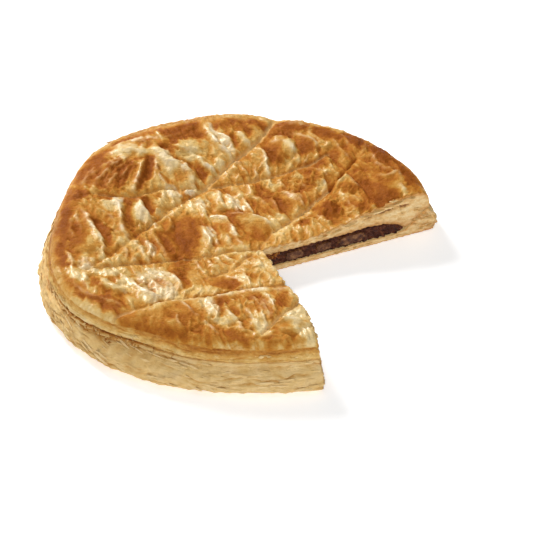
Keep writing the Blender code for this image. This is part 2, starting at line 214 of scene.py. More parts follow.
# Folds: rise, width to the left and width to the right of the crest in millimetres, and the points of the
# crest. Left and right are the viewer's where the points run towards the viewer, and elsewhere those of the
# way they run
FOLDS = (
    (4.5, 15, 4.5, ((-56, 91), (-54, 86), (-50, 79), (-44, 74), (-38, 72), (-34, 66), (-31, 58), (-30, 50))),
    (1.6, 2.2, 2.2, ((-56, 97), (-50, 100), (-43, 103), (-36, 109), (-32, 112))),
    (2.5, 9, 5, ((-91, 76), (-84, 81), (-76, 84), (-70, 82), (-68, 78))),
    (1.8, 3, 3, ((-68, 93), (-67, 88), (-66, 83))),
    (2.2, 5, 3, ((-59, 90), (-57, 80), (-57, 70), (-55, 62), (-52, 55), (-48, 49))),
    (3.0, 5, 4, ((-65, 78), (-66, 70), (-68, 60), (-69, 50), (-71, 42))),
    (2.4, 4, 3, ((-60, 93), (-68, 94.5), (-76, 95), (-83, 93), (-89, 88))),
    (2.6, 4, 3.5, ((-76, 80), (-80, 74), (-86, 66), (-90, 58), (-94, 50), (-97, 42))),
    (1.4, 2.5, 2.5, ((-75, 74), (-79, 68), (-83, 62), (-87, 55), (-90, 46))),
    (1.5, 3, 3, ((-96, 66), (-99, 58), (-102, 50), (-105, 40))),
    (1.8, 3, 2.5, ((-82, 58), (-85, 50), (-89, 42))),
    (2.0, 3, 2.5, ((-66, 91), (-73, 84), (-86, 71), (-99, 56), (-107, 42))),
    (1.6, 2.5, 2.5, ((-74, 68), (-77, 60), (-80, 52))),
    (4.0, 6, 4, ((-24, 118), (-22, 108), (-18, 99), (-12, 90), (-6, 83), (0, 75))),
    (2.6, 3.5, 3.5, ((-18, 108), (-13, 104), (-8, 98), (-6, 91))),
    (2.8, 4, 6, ((-4, 110), (0, 104), (5, 98), (10, 93))),
    (3.0, 7, 4, ((-30, 84), (-27, 78), (-22, 72), (-18, 67))),
    (2.6, 5, 4, ((10, 93), (14, 86), (17, 78), (18, 70), (18, 61))),
    (2.0, 5, 6, ((19, 97), (27, 99), (33, 94), (36, 87), (39, 80), (37, 73))),
    (2.0, 5, 5, ((32, 104), (40, 102), (47, 99), (51, 92), (50, 84))),
    (1.6, 3, 3, ((24, 110), (31, 115), (40, 116), (46, 111), (48, 104))),
    (1.4, 2.5, 2.5, ((40, 80), (38, 74), (37, 69))),
    (1.5, 2.5, 2.5, ((46, 81), (44, 75), (42, 69))),
    (2.4, 4, 3.5, ((2, 56), (5, 50), (8, 44), (10, 39))),
    (1.8, 3, 3, ((1, 71), (3, 65), (5, 60))),
    (1.8, 3, 3, ((16, 62), (19, 56), (22, 50))),
    (1.6, 3, 3, ((25, 58), (28, 51), (31, 46))),
    (1.6, 3, 3, ((10, 72), (9, 64), (11, 57))),
    (1.4, 3, 3, ((45, 108), (51, 101), (54, 93))),
    (1.6, 3, 3, ((62, 97), (66, 89), (70, 81), (74, 74))),
    (1.8, 2.5, 2.5, ((69, 103), (73, 96), (73, 89))),
    (1.5, 3, 3, ((84, 88), (82, 81), (81, 75))),
    (1.5, 2.5, 2.5, ((79, 74), (85, 74), (89, 76), (94, 81))),
    (2.0, 3, 5, ((90, 80), (89, 73), (91, 66), (96, 62), (102, 61))),
    (2.2, 5, 3, ((71, 60), (75, 53), (78, 47), (82, 42))),
    (2.0, 4, 3, ((51, 60), (54, 53), (56, 46), (54, 41))),
    (1.6, 4, 4, ((90, 54), (97, 54), (103, 55), (104, 47))),
    (2.0, 3, 3, ((103, 45), (106, 38), (109, 34))),
    (2.2, 3, 4, ((63, 41), (66, 36), (70, 33), (80, 32))),
    (1.5, 3, 3, ((70, 31), (72, 26), (74, 21))),
    (1.8, 3.5, 3, ((50, 20), (53, 15), (56, 11))),
    (1.6, 3, 3, ((40, 57), (39, 51), (43, 47))),
    (1.6, 3, 3, ((42, 68), (50, 66), (56, 61), (57, 57))),
    (4.5, 6, 4, ((-68, 36), (-65, 28), (-61, 20), (-57, 13), (-52, 8))),
    (3.5, 7, 5, ((-90, 31), (-84, 28), (-79, 24), (-77, 14), (-76, 6), (-73, -3), (-70, -9))),
    (3.5, 6, 4, ((-101, 20), (-98, 10), (-95, 1), (-90, -7), (-86, -15), (-85, -22), (-86, -28))),
    (2.2, 4, 4, ((-81, 2), (-77, -6), (-72, -10), (-66, -12), (-62, -20), (-58, -29), (-54, -37))),
    (2.4, 4, 3, ((-61, -8), (-57, -15), (-56, -22), (-57, -28))),
    (1.8, 3, 3, ((-59, 1), (-54, -8), (-50, -16), (-46, -24), (-43, -30))),
    (1.6, 2.5, 2.5, ((-48, 18), (-45, 11), (-44, 5))),
    (2.4, 4, 4, ((-111, -26), (-106, -33), (-103, -42), (-99, -51))),
    (1.8, 3, 3, ((-98, -33), (-95, -40), (-91, -46))),
    (2.0, 3.5, 3, ((-92, -28), (-86, -33), (-82, -38), (-79, -43))),
    (1.4, 2.5, 2.5, ((-104, 18), (-104, 10), (-103, 2), (-101, -6))),
    (1.4, 2.5, 2.5, ((-108, 6), (-107, -4), (-105, -14))),
    (1.4, 2.5, 2.5, ((-89, 18), (-85, 12), (-83, 7))),
    (1.6, 3, 3, ((-69, -20), (-66, -28), (-65, -36))),
    (1.6, 3, 3, ((-75, -14), (-72, -24), (-71, -33))),
    (2.8, 4, 4, ((-17, 48), (-14, 41), (-12, 36))),
    (2.8, 4, 5, ((-10, 39), (-6, 35), (-3, 28), (0, 22))),
    (3.0, 5, 3, ((-29, 32), (-25, 25), (-22, 20))),
    (3.0, 5, 4, ((-22, 22), (-15, 21), (-9, 17), (-6, 9), (-3, 1), (1, -9))),
    (3.5, 3.5, 16, ((-10, 24), (0, 23), (8, 20), (15, 16), (21, 8))),
    (3.0, 5, 5, ((-25, 12), (-23, 4), (-20, -5), (-18, -13))),
    (1.8, 3, 3, ((-17, -2), (-15, -8), (-13, -14))),
    (1.8, 3, 3, ((-9, 3), (-8, -5), (-5, -13))),
    (1.6, 2.5, 2.5, ((-4, 0), (-1, -7), (3, -13))),
    (2.0, 2.5, 2.5, ((-15, -21), (-13, -27), (-10, -33))),
    (2.0, 2.5, 2.5, ((-9, -20), (-6, -27), (-3, -33))),
    (1.6, 2.5, 2.5, ((-22, -23), (-20, -29), (-17, -34))),
    (1.6, 2.5, 2.5, ((-29, -27), (-26, -33), (-24, -38))),
    (1.6, 2.5, 2.5, ((2, -18), (4, -24), (4, -30))),
    (3.0, 5, 4, ((1, 41), (3, 34), (6, 27), (9, 21))),
    (1.8, 3, 3, ((9, 42), (13, 37), (15, 31))),
    (2.0, 3.5, 3, ((17, 38), (22, 33), (24, 26), (26, 19))),
    (2.0, 3.5, 3, ((26, 48), (29, 43), (35, 41), (38, 35), (41, 28))),
    (2.0, 3.5, 3, ((-25, 39), (-21, 33), (-21, 28))),
    (2.4, 5, 4, ((-48, 47), (-44, 42), (-42, 36))),
    (2.4, 4, 4, ((-39, 46), (-33, 45), (-29, 42))),
    (1.8, 4, 3, ((21, 15), (27, 15), (33, 14), (34, 9))),
    (1.4, 2.5, 2.5, ((24, -1), (28, 5), (32, 9))),
    (3.5, 6, 5, ((-67, -49), (-63, -58), (-57, -65), (-52, -71), (-46, -77))),
    (2.4, 4, 4, ((-48, -41), (-42, -46), (-38, -53), (-35, -59))),
    (1.6, 4, 4, ((-57, -46), (-52, -56), (-47, -66))),
    (2.2, 5, 5, ((-85, -60), (-79, -61), (-72, -65), (-69, -70))),
    (1.8, 5, 5, ((-104, -56), (-98, -66), (-89, -73), (-79, -78), (-69, -82))),
    (1.8, 3, 3, ((-96, -47), (-94, -56), (-91, -66))),
    (3.5, 4, 14, ((-76, -91), (-66, -86), (-57, -81), (-49, -79), (-43, -74), (-37, -74), (-31, -81),
                 (-25, -88))),
    (1.6, 3, 3, ((-84, -48), (-79, -50), (-73, -45))),
    (1.5, 3, 3, ((-78, -51), (-74, -57), (-70, -58))),
    (1.8, 3, 6, ((-22, -50), (-16, -46), (-10, -44), (-4, -47), (3, -54))),
    (2.0, 3, 3, ((1, -40), (4, -47), (7, -55))),
    (3.0, 10, 2.5, ((31, -54), (22, -57), (12, -57), (4, -59), (-5, -62), (-14, -66), (-24, -68),
                    (-34, -69))),
    (2.2, 4, 3, ((-20, -69), (-17, -79), (-14, -89))),
    (2.0, 3.5, 3, ((-9, -79), (-5, -87), (-1, -96), (2, -105))),
    (2.2, 3.5, 3, ((10, -78), (13, -89), (15, -98), (17, -106))),
    (1.8, 3, 3, ((2, -79), (6, -88), (8, -98))),
    (2.2, 3.5, 3, ((14, -62), (18, -72), (22, -83))),
    (1.8, 3, 3, ((-21, -93), (-17, -101), (-12, -108))),
    (2.0, 4, 4, ((19, -94), (25, -90), (32, -92), (37, -98))),
    (1.6, 3, 3, ((10, -110), (15, -107), (20, -110))),
    (1.6, 3, 3, ((5, -64), (9, -72), (12, -78))),
    (1.4, 3, 3, ((-37, -88), (-36, -94), (-34, -101))),
)

# Smooth places, where the small wrinkles fade: centre, length, width, turn
SMOOTH = (
    (-33, -3, 50, 26, 97), (9, 6, 34, 18, 130), (27, 87, 24, 18, 100), (95, 44, 36, 20, 100),
    (44, 92, 24, 16, 110), (-71, 14, 24, 13, 95), (-97, -20, 24, 16, 100), (37, 111, 26, 13, 0),
    (-37, 90, 28, 13, 175), (-9, -53, 22, 14, 10), (28, -101, 20, 16, 110), (-61, 66, 34, 8, 88),
    (-28, 105, 20, 12, 110), (60, 100, 24, 16, 145), (-28, 65, 28, 7, 105), (-88, -5, 26, 8, 118),
    (-60, 25, 22, 6, 115), (94, 76, 18, 10, 110),
)

# Browner places, and paler ones below 0, partly the crust's own baked colour and partly painted shade on
# slopes turned from the light and painted highlight on lit ones: centre, length, width, turn, amount
BROWNING_SHADE_AND_HIGHLIGHT = (
    (-62, 66, 36, 9, 88, 0.42), (-77, 60, 34, 12, 75, 0.42), (-86, 66, 24, 6, 60, 0.5),
    (-80, 50, 20, 10, 80, 0.4), (-43, 106, 36, 12, 30, 0.6), (-47, 96, 10, 8, 0, 0.4),
    (-28, 65, 26, 8, 105, 0.42), (-36, 100, 20, 9, 10, 0.28), (-105, 30, 18, 9, 60, 0.45),
    (-112, 2, 36, 7, 88, 0.5), (-110, -36, 34, 8, 106, 0.5), (-88, -4, 28, 9, 118, 0.42),
    (-60, 26, 24, 7, 115, 0.4), (-34, -2, 52, 20, 96, 0.32), (-72, 30, 16, 11, 0, 0.35),
    (-3, 20, 20, 9, 160, 0.25), (8, -1, 22, 14, 100, 0.12), (0, 118, 34, 9, 172, 0.38),
    (12, 112, 22, 8, 150, 0.35), (36, 112, 28, 12, 0, 0.45), (28, 85, 24, 18, 100, 0.14),
    (45, 90, 24, 16, 110, 0.16), (59, 103, 26, 13, 150, 0.28), (77, 92, 26, 10, 118, 0.5),
    (94, 75, 22, 10, 112, 0.6), (107, 54, 40, 7, 110, 0.6), (47, 56, 16, 12, 120, 0.3),
    (58, 25, 26, 12, 97, 0.28), (42, 45, 16, 9, 0, 0.28), (22, 36, 28, 10, 120, 0.22),
    (-9, -54, 22, 12, 10, 0.2), (-12, -73, 14, 9, 20, 0.32), (26, -72, 26, 11, 98, 0.36),
    (17, -86, 16, 5, 100, 0.25), (-98, -64, 24, 8, 128, 0.36), (-80, -77, 32, 9, 160, 0.42),
    (-52, -99, 44, 18, 12, 0.08), (-25, -106, 34, 15, 8, 0.14), (5, -113, 34, 9, 4, 0.14),
    (30, -113, 22, 11, 10, 0.1), (-88, -60, 14, 8, 80, 0.3), (70, 44, 20, 12, 120, 0.18),
    (94, 42, 34, 16, 100, 0.14), (-103, 54, 22, 8, 70, 0.2), (-75, 86, 30, 13, 10, -0.1),
    (-50, -57, 38, 26, 120, -0.22), (-19, -78, 24, 14, 110, -0.22), (0, -32, 50, 16, 165, -0.18),
    (28, 4, 24, 16, 30, -0.22), (-76, -49, 34, 14, 165, -0.2), (-18, 24, 34, 14, 120, -0.12),
    (85, 55, 74, 40, 118, 0.16), (60, 35, 50, 30, 130, 0.08), (10, -62, 50, 14, 10, 0.06),
    (-77, -62, 18, 8, 170, -0.4), (-63, -74, 20, 10, 130, -0.1), (-85, -48, 26, 10, 160, -0.2),
    (-98, -40, 22, 12, 110, -0.2), (-66, 96, 30, 8, 10, -0.2), (-2, 65, 26, 14, 100, 0.1),
    (20, -45, 30, 14, 110, -0.14), (-70, 79, 46, 15, 12, -0.3), (-50, 68, 40, 14, 108, -0.3),
    (-15, 98, 46, 13, 120, -0.35), (2, 97, 18, 9, 120, -0.2), (33, 88, 18, 12, 100, -0.3),
    (-18, 72, 20, 12, 110, -0.2), (-37, 91, 24, 10, 175, -0.25), (-6, 33, 36, 18, 150, -0.35),
    (-46, 36, 28, 16, 60, -0.2), (-26, 21, 36, 12, 150, -0.2), (-82, 22, 18, 16, 0, -0.25),
    (-63, 18, 22, 20, 110, -0.3), (-20, -6, 18, 14, 0, -0.2), (4, -18, 28, 12, 160, -0.15),
    (-65, -20, 40, 16, 125, -0.2), (-87, -38, 14, 12, 0, -0.2), (-97, -52, 24, 18, 0, -0.2),
    (-68, -59, 24, 16, 60, -0.3), (-53, -71, 20, 14, 0, -0.4), (-22, -62, 34, 10, 0, -0.15),
    (2, -49, 22, 10, 0, -0.3), (-12, -43, 16, 12, 0, -0.15), (-9, -91, 28, 18, 0, -0.3),
    (12, -95, 34, 14, 100, -0.3), (34, -95, 56, 16, 108, -0.45), (52, 48, 22, 12, 100, -0.2),
    (70, 52, 14, 10, 0, -0.15), (100, 46, 22, 12, 100, -0.1), (-50, 88, 22, 9, 138, 0.25),
    (-78, 98, 34, 12, 35, 0.2), (-86, 46, 44, 26, 80, 0.2), (-104, -13, 32, 22, 100, 0.4),
    (-42, -12, 54, 24, 100, 0.3), (-38, -38, 32, 16, 90, 0.22), (-48, -56, 18, 16, 90, 0.25),
    (20, 84, 44, 12, 110, 0.22), (44, 66, 34, 15, 35, 0.32), (59, 76, 24, 18, 30, 0.32),
    (90, 32, 44, 26, 130, 0.3), (57, 17, 34, 22, 135, 0.42), (42, 10, 16, 12, 0, 0.25),
    (28, 28, 34, 18, 0, 0.18), (10, 4, 28, 22, 0, 0.2), (15, 44, 32, 12, 100, 0.2),
    (5, -35, 20, 12, 0, 0.2), (-35, -85, 30, 26, 0, 0.14), (-62, -90, 18, 12, 0, 0.14),
    (-8, -110, 34, 12, 0, 0.2), (-68, 50, 18, 12, 90, 0.22), (-58, 34, 16, 14, 0, 0.18),
    (-58, 104, 22, 11, 90, 0.3), (-12, 6, 18, 14, 0, 0.18), (22, 23, 20, 14, 0, 0.2),
    (-68, 92, 14, 9, 30, 0.2), (89, 52, 16, 15, 0, -0.14), (38, -98, 17, 12, 90, 0.22),
    (40, 10, 13, 10, 40, 0.14), (-4, -34, 22, 12, 160, 0.15), (0, 62, 12, 9, 0, 0.14),
    (30, 60, 12, 9, 0, 0.14), (-36, 76, 34, 12, 130, -0.13), (-5, 83, 16, 13, 0, -0.2),
    (14, -68, 24, 13, -40, -0.17), (-25, -80, 12, 8, 0, -0.1), (-72, -67, 10, 8, 0, -0.1),
    (2, -70, 30, 12, 30, 0.15), (84, 52, 22, 24, 0, 0.15), (-30, 80, 28, 16, 125, -0.25),
    (10, 101, 18, 12, 110, -0.2), (-84, 72, 24, 14, 60, -0.2), (-56, 15, 16, 18, 0, -0.25),
    (1, 2, 18, 16, 0, -0.22), (-10, -8, 16, 14, 0, -0.2), (8, -20, 22, 14, 0, -0.13),
    (25, 12, 22, 12, 20, -0.16), (63, 31, 20, 12, 0, -0.2), (102, 31, 16, 12, 0, -0.16),
    (44, 71, 18, 12, 20, -0.16), (20, 50, 16, 16, 0, -0.2), (58, 109, 30, 10, 150, -0.18),
    (-93, -67, 30, 24, 120, -0.22), (-38, -70, 26, 12, 20, -0.22), (10, -57, 26, 14, 0, -0.25),
    (-13, -98, 24, 16, 0, -0.2), (25, -96, 28, 16, 0, -0.18), (10, -110, 20, 18, 0, -0.2),
    (-29, 100, 20, 14, 110, 0.25), (26, 103, 24, 16, 150, 0.2), (-40, 60, 22, 20, 100, 0.22),
    (-29, 10, 16, 30, 0, 0.2), (86, 24, 38, 16, 25, 0.3), (9, -77, 20, 20, 0, 0.22),
    (-68, 30, 14, 14, 0, 0.16), (-17, 66, 16, 12, 110, -0.15), (-27, 49, 24, 12, 50, -0.2),
    (74, 56, 24, 12, 120, -0.15), (20, 70, 20, 10, 90, -0.14), (-61, 15, 16, 12, 110, -0.14),
    (104, 24, 40, 9, 20, 0.28), (-102, 66, 34, 13, 62, 0.16), (-119, -12, 44, 12, 95, 0.16),
    (-32, -105, 38, 18, 10, 0.14), (0, -110, 22, 13, 0, 0.13), (28, 101, 20, 14, 0, 0.13),
    (-36, 97, 22, 10, 5, 0.13), (-90, -24, 18, 14, 90, 0.13), (-82, 6, 14, 14, 0, 0.14),
    (-15, -65, 40, 8, -5, -0.13), (-72, -67, 18, 12, 20, -0.1), (-92, 29, 40, 8, 0, 0.12),
)

# Outside the rim's band and down the lid's side the crust is browner in some directions, and paler below 0,
# partly its own colour and partly painted shade on the back left and the left, where the raking lamp falls
# hardest: amount, direction and reach in degrees
BROWN_AND_SHADE_OUTSIDE = ((0.26, 120, 35), (0.30, 182, 24), (-0.34, 229, 22), (0.16, 265, 28))
LID_SIDE_BROWN_AND_SHADE = ((0.40, 178, 28), (0.26, 120, 35), (0.26, 265, 28))

# How brown the crust is where it is level, and how much of that bumps take away and valleys add, partly
# the crust's own baked colour and partly painted highlight on the bumps and painted shade in the valleys
LEVEL_BROWN = 0.55
VALLEY_BROWN_AND_SHADE = 0.50

# Past the limit the brown grows less and less, by no more than the margin
BROWN_LIMIT = 0.6
BROWN_MARGIN = 0.25

# The direction in which the small wrinkles are drawn out
WRINKLE_TURN = math.radians(-70.0)

# Whitish places with gloss and a painted highlight: centre, length, width, turn, amount
GLOSS_AND_PAINTED_HIGHLIGHT = (
    (-50, -57, 40, 26, 120, 0.6), (-19, -78, 24, 13, 110, 0.6), (-45, 42, 16, 12, 110, 0.9),
    (-34, 43, 10, 8, 0, 0.9), (-80, 27, 11, 9, 60, 0.9), (-27, 28, 14, 8, 120, 0.5),
    (-78, 84, 20, 12, 10, 0.4), (-50, 74, 30, 12, 110, 0.4), (-20, 2, 16, 8, 100, 0.8),
    (-56, -20, 18, 7, 110, 0.8), (10, -58, 30, 5, 8, 0.6), (35, 38, 14, 9, 120, 0.5),
    (15, -80, 24, 7, 105, 0.3), (-95, -42, 16, 12, 100, 0.6), (-70, 95, 30, 5, 5, 0.8),
    (-14, 98, 44, 9, 120, 0.8), (-4, 33, 26, 8, 125, 0.7), (-64, 16, 22, 9, 115, 0.7),
    (-53, -70, 16, 9, 130, 0.8),
)

# The browned band inside the rim by direction in degrees: share of the radius where it lies, half its
# width, how brown it is, and the share where the crust turns pale outside it
RIM_BAND = (
    (23, 0.915, 0.035, 0.45, 0.965), (40, 0.915, 0.038, 0.55, 0.965), (52, 0.910, 0.038, 0.50, 0.950),
    (65, 0.895, 0.040, 0.38, 0.930), (80, 0.860, 0.035, 0.30, 0.900), (95, 0.860, 0.040, 0.36, 0.905),
    (110, 0.850, 0.045, 0.42, 0.905), (130, 0.920, 0.030, 0.16, 0.955), (150, 0.905, 0.055, 0.50, 0.980),
    (165, 0.905, 0.045, 0.56, 0.975), (180, 0.902, 0.026, 0.56, 0.930), (195, 0.895, 0.024, 0.42, 0.915),
    (205, 0.898, 0.018, 0.28, 0.912), (215, 0.885, 0.018, 0.36, 0.900), (225, 0.845, 0.024, 0.40, 0.870),
    (240, 0.872, 0.036, 0.30, 0.935), (255, 0.885, 0.055, 0.14, 0.985), (270, 0.895, 0.055, 0.14, 0.980),
    (288, 0.885, 0.050, 0.14, 0.960),
)


def smooth_step(low, high, value):
    """Rises from 0 at low to 1 at high with no corner at either end."""
    share = np.clip((value - low) / (high - low), 0, 1)
    return share * share * (3 - 2 * share)


def hump(value, middle, half_width):
    """1 where the value is in the middle, less beside it, and exp(-1) at the half width."""
    return np.exp(-(((value - middle) / half_width) ** 2))


def drift(x, y, cell, seed):
    """Gradient noise from about -1 to 1: seeded slopes at the corners of square cells, blended in between."""
    turns = np.random.default_rng(seed).uniform(0, 2 * math.pi, (NOISE_LATTICE, NOISE_LATTICE))
    u, v = x / cell + NOISE_LATTICE / 2, y / cell + NOISE_LATTICE / 2
    column, row = np.floor(u).astype(int), np.floor(v).astype(int)
    part_u, part_v = u - column, v - row
    ease_u, ease_v = (t * t * t * (t * (t * 6 - 15) + 10) for t in (part_u, part_v))

    def slope(step_u, step_v):
        turn = turns[(column + step_u) % NOISE_LATTICE, (row + step_v) % NOISE_LATTICE]
        return np.cos(turn) * (part_u - step_u) + np.sin(turn) * (part_v - step_v)

    near = slope(0, 0) * (1 - ease_u) + slope(1, 0) * ease_u
    far = slope(0, 1) * (1 - ease_u) + slope(1, 1) * ease_u
    return 1.5 * (near * (1 - ease_v) + far * ease_v)


def bubbles(x, y, cell, seed):
    """One seeded point in every square cell. Gives the way from each place to the line between its two
    nearest points, as a share of the cell, and the random value, 0 to 1, of the nearest one."""
    generator = np.random.default_rng(seed)
    spots = generator.uniform(0.1, 0.9, (NOISE_LATTICE, NOISE_LATTICE, 2))
    values = generator.uniform(0, 1, (NOISE_LATTICE, NOISE_LATTICE))
    u, v = x / cell + NOISE_LATTICE / 2, y / cell + NOISE_LATTICE / 2
    column, row = np.floor(u).astype(int), np.floor(v).astype(int)
    first, second, value = np.full_like(u, 9.0), np.full_like(u, 9.0), np.zeros_like(u)
    for step_u in (-1, 0, 1):
        for step_v in (-1, 0, 1):
            at = ((column + step_u) % NOISE_LATTICE, (row + step_v) % NOISE_LATTICE)
            away = np.hypot(column + step_u + spots[at][..., 0] - u, row + step_v + spots[at][..., 1] - v)
            nearer = away < first
            second = np.where(nearer, first, np.minimum(second, away))
            value = np.where(nearer, values[at], value)
            first = np.where(nearer, away, first)
    return second - first, value


def bent(x, y, waves):
    """The places moved by waves of noise, each with size and cell in millimetres and seeds for x and y."""
    bent_x, bent_y = x, y
    for size, cell, seed_x, seed_y in waves:
        bent_x = bent_x + size * MM * drift(x, y, cell * MM, seed_x)
        bent_y = bent_y + size * MM * drift(x, y, cell * MM, seed_y)
    return bent_x, bent_y


def outline_radius(turn):
    """Radius of the round in the direction turn, seen from its middle: a circle and four slow waves."""
    waves = sum(size * np.cos(count * turn - math.radians(phase)) for count, size, phase in OUTLINE_WAVES)
    return ROUND_RADIUS + waves * MM


def reach_from_corner(turn):
    """Distance from the cut's corner to the outline in the direction turn, by stepping to where they meet."""
    reach = np.full_like(turn, ROUND_RADIUS)
    for _ in range(OUTLINE_STEPS):
        x = CUT_CORNER[0] + reach * np.cos(turn)
        y = CUT_CORNER[1] + reach * np.sin(turn)
        reach = reach + outline_radius(np.arctan2(y, x)) - np.hypot(x, y)
    return reach


def from_corner(x, y):
    """Direction and distance of each place from the corner of the cut."""
    away_x, away_y = x - CUT_CORNER[0], y - CUT_CORNER[1]
    return np.arctan2(away_y, away_x), np.hypot(away_x, away_y)


def arc_along_side(x, y):
    """Way round the side to each place, as the direction from the corner times the mean radius."""
    return (from_corner(x, y)[0] % (2 * math.pi)) * ROUND_RADIUS


def cut_frame(cut, side):
    """The way outwards along a cut, and the way out of its face into the gap. Takes numbers or arrays."""
    level = np.zeros_like(cut)
    heading = np.stack([np.cos(cut), np.sin(cut), level], -1)
    return heading, np.stack([-np.sin(cut), np.cos(cut), level], -1) * np.asarray(side)[..., None]


def bell(turn, middle_deg, reach_deg):
    """1 in a direction and less beside it, exp(-1) at the reach."""
    off = (turn - math.radians(middle_deg) + math.pi) % (2 * math.pi) - math.pi
    return hump(off, 0, math.radians(reach_deg))


def bells(turn, spots):
    """A sum of bells, each with its amount and its direction and reach in degrees."""
    return sum(amount * bell(turn, *where) for amount, *where in spots)


def seam_shift(turn):
    """How much further out the seam runs in a direction, as a share of the radius."""
    return bells(turn, SEAM_SHIFTS)


def place(share, turn):
    """The plan place a share of the way from the corner of the cut to the outline in the direction turn.
    Shares near the seam's are moved in or out with the seam."""
    moved = smooth_step(0.80, 0.90, share) - 0.65 * smooth_step(0.91, 1.0, share)
    reach = (share + moved * seam_shift(turn)) * reach_from_corner(turn)
    return CUT_CORNER[0] + reach * np.cos(turn), CUT_CORNER[1] + reach * np.sin(turn)


def way_to_line(x, y, points):
    """Distance from each place to a line through points in millimetres."""
    nearest = np.full_like(x, 1.0)
    for (ax, ay), (bx, by) in zip(points, points[1:]):
        ax, ay, bx, by = ax * MM, ay * MM, bx * MM, by * MM
        length = (bx - ax) ** 2 + (by - ay) ** 2
        along = np.clip(((x - ax) * (bx - ax) + (y - ay) * (by - ay)) / length, 0, 1)
        nearest = np.minimum(nearest, np.hypot(x - ax - along * (bx - ax), y - ay - along * (by - ay)))
    return nearest


def dome(x, y, middle_x, middle_y, length, width, turn):
    """1 in the middle of a turned oval and 0 at its edge, steep at the edge and flat on top."""
    away_x, away_y = x - middle_x * MM, y - middle_y * MM
    cosine, sine = math.cos(math.radians(turn)), math.sin(math.radians(turn))
    along = (away_x * cosine + away_y * sine) / (length * MM / 2)
    across = (away_y * cosine - away_x * sine) / (width * MM / 2)
    return np.clip(1 - along**2 - across**2, 0, 1)


def ridge(x, y, left, right, points):
    """A fold along a line through points. Gives its height, 1 on the line and falling along a half wave to
    0 at the left and the right width beside it and at both its ends, how near a place is to the band just
    left of the line, the lit side, where a highlight is painted, and how near it is to the foot of the
    right side, which faces away from the light, where the fold is sunk and shade is painted. Left and right
    are the viewer's for a line that runs towards the viewer, and elsewhere those of the way the line runs."""
    best, crest, foot = np.zeros_like(x), np.zeros_like(x), np.zeros_like(x)
    count = len(points) - 1
    (first_x, first_y), (last_x, last_y) = points[0], points[-1]
    to_viewer = first_y - last_y > 1.2 * abs(first_x - last_x)
    for number, ((ax, ay), (bx, by)) in enumerate(zip(points, points[1:])):
        run_x, run_y = (bx - ax) * MM, (by - ay) * MM
        away_x, away_y = x - ax * MM, y - ay * MM
        along = np.clip((away_x * run_x + away_y * run_y) / (run_x**2 + run_y**2), 0, 1)
        away_x, away_y = away_x - along * run_x, away_y - along * run_y
        to_right = (away_x * run_y > away_y * run_x) != to_viewer
        way = np.hypot(away_x, away_y)
        share = way / (np.where(to_right, 0.8, 0.9) * np.where(to_right, right, left) * MM)
        taper = np.sqrt(np.maximum(np.sin(math.pi * (number + along) / count), 0))
        band = hump(np.where(to_right, way, -way), -0.12 * left * MM, (0.6 + 0.13 * left) * MM)
        hollow = np.where(to_right, hump(way, (0.8 * right + 1.2) * MM, (0.5 * right + 1) * MM), 0)
        best = np.maximum(best, (0.5 + 0.5 * np.cos(math.pi * np.minimum(share, 1))) * taper)
        crest = np.maximum(crest, band * taper)
        foot = np.maximum(foot, hollow * taper)
    return best, crest, foot


def seen_place(x, y, height):
    """Where the line of sight from the viewpoint through a place at a height meets the plain dish."""
    seen_x, seen_y = x, y
    for _ in range(SIGHT_STEPS):
        share = np.minimum(np.hypot(seen_x, seen_y) / PLAIN_DISH[2], 1.05)
        dish = PLAIN_DISH[0] + PLAIN_DISH[1] * share**1.5
        reach = (height - dish) / (VIEWPOINT[2] - height)
        seen_x, seen_y = x + (x - VIEWPOINT[0]) * reach, y + (y - VIEWPOINT[1]) * reach
    return seen_x, seen_y


def blisters(x, y):
    """The tallest of the blisters over each place, in metres, with their edges bent by noise."""
    height = np.zeros_like(x)
    bent_x, bent_y = bent(x, y, RELIEF_WAVES)
    for *oval, rise in BLISTERS:
        height = np.maximum(height, rise * MM * dome(bent_x, bent_y, *oval) ** 0.7)
    return height


def folds(x, y, sight_run):
    """The tallest of the folds over each place and the hollow at its foot, in metres, and how near a place
    is to a crest, where a highlight is painted, and to the foot of a shaded side, where shade is painted.
    x and y are bent by noise. The line of sight runs back by sight_run for each metre that it falls, and
    the points of a fold are where six tenths of its height is seen."""
    fold, sunk, crest, foot = (np.zeros_like(x) for _ in range(4))
    for rise, left, right, points in FOLDS:
        steep = min(6 / right, 1)
        seen_y = y + 0.6 * FOLD_GAIN * rise * MM * sight_run
        shape, highlight_band, hollow = ridge(x, seen_y, left, right, points)
        fold = np.maximum(fold, rise * MM * shape)
        sunk = np.maximum(sunk, 0.3 * steep * rise * MM * hollow)
        crest = np.maximum(crest, min(rise / 3.2, 1) * highlight_band)
        foot = np.maximum(foot, min(rise / 3, 1) * steep**2 * hollow)
    return fold, sunk, crest, foot


def crests(x, y, cell, seed):
    """1 on thin wandering lines and 0 between them: the square of how near noise is to its zero."""
    return np.clip(1 - 2.2 * np.abs(drift(x, y, cell, seed)), 0, 1) ** 2


def puffs(x, y, cell, seed, steepness, least):
    """Little cushions that meet in creases, from 0 in the creases to a random rise from the least to 1."""
    border, value = bubbles(x, y, cell, seed)
    return (1 - np.exp(-steepness * border)) * (least + (1 - least) * value)


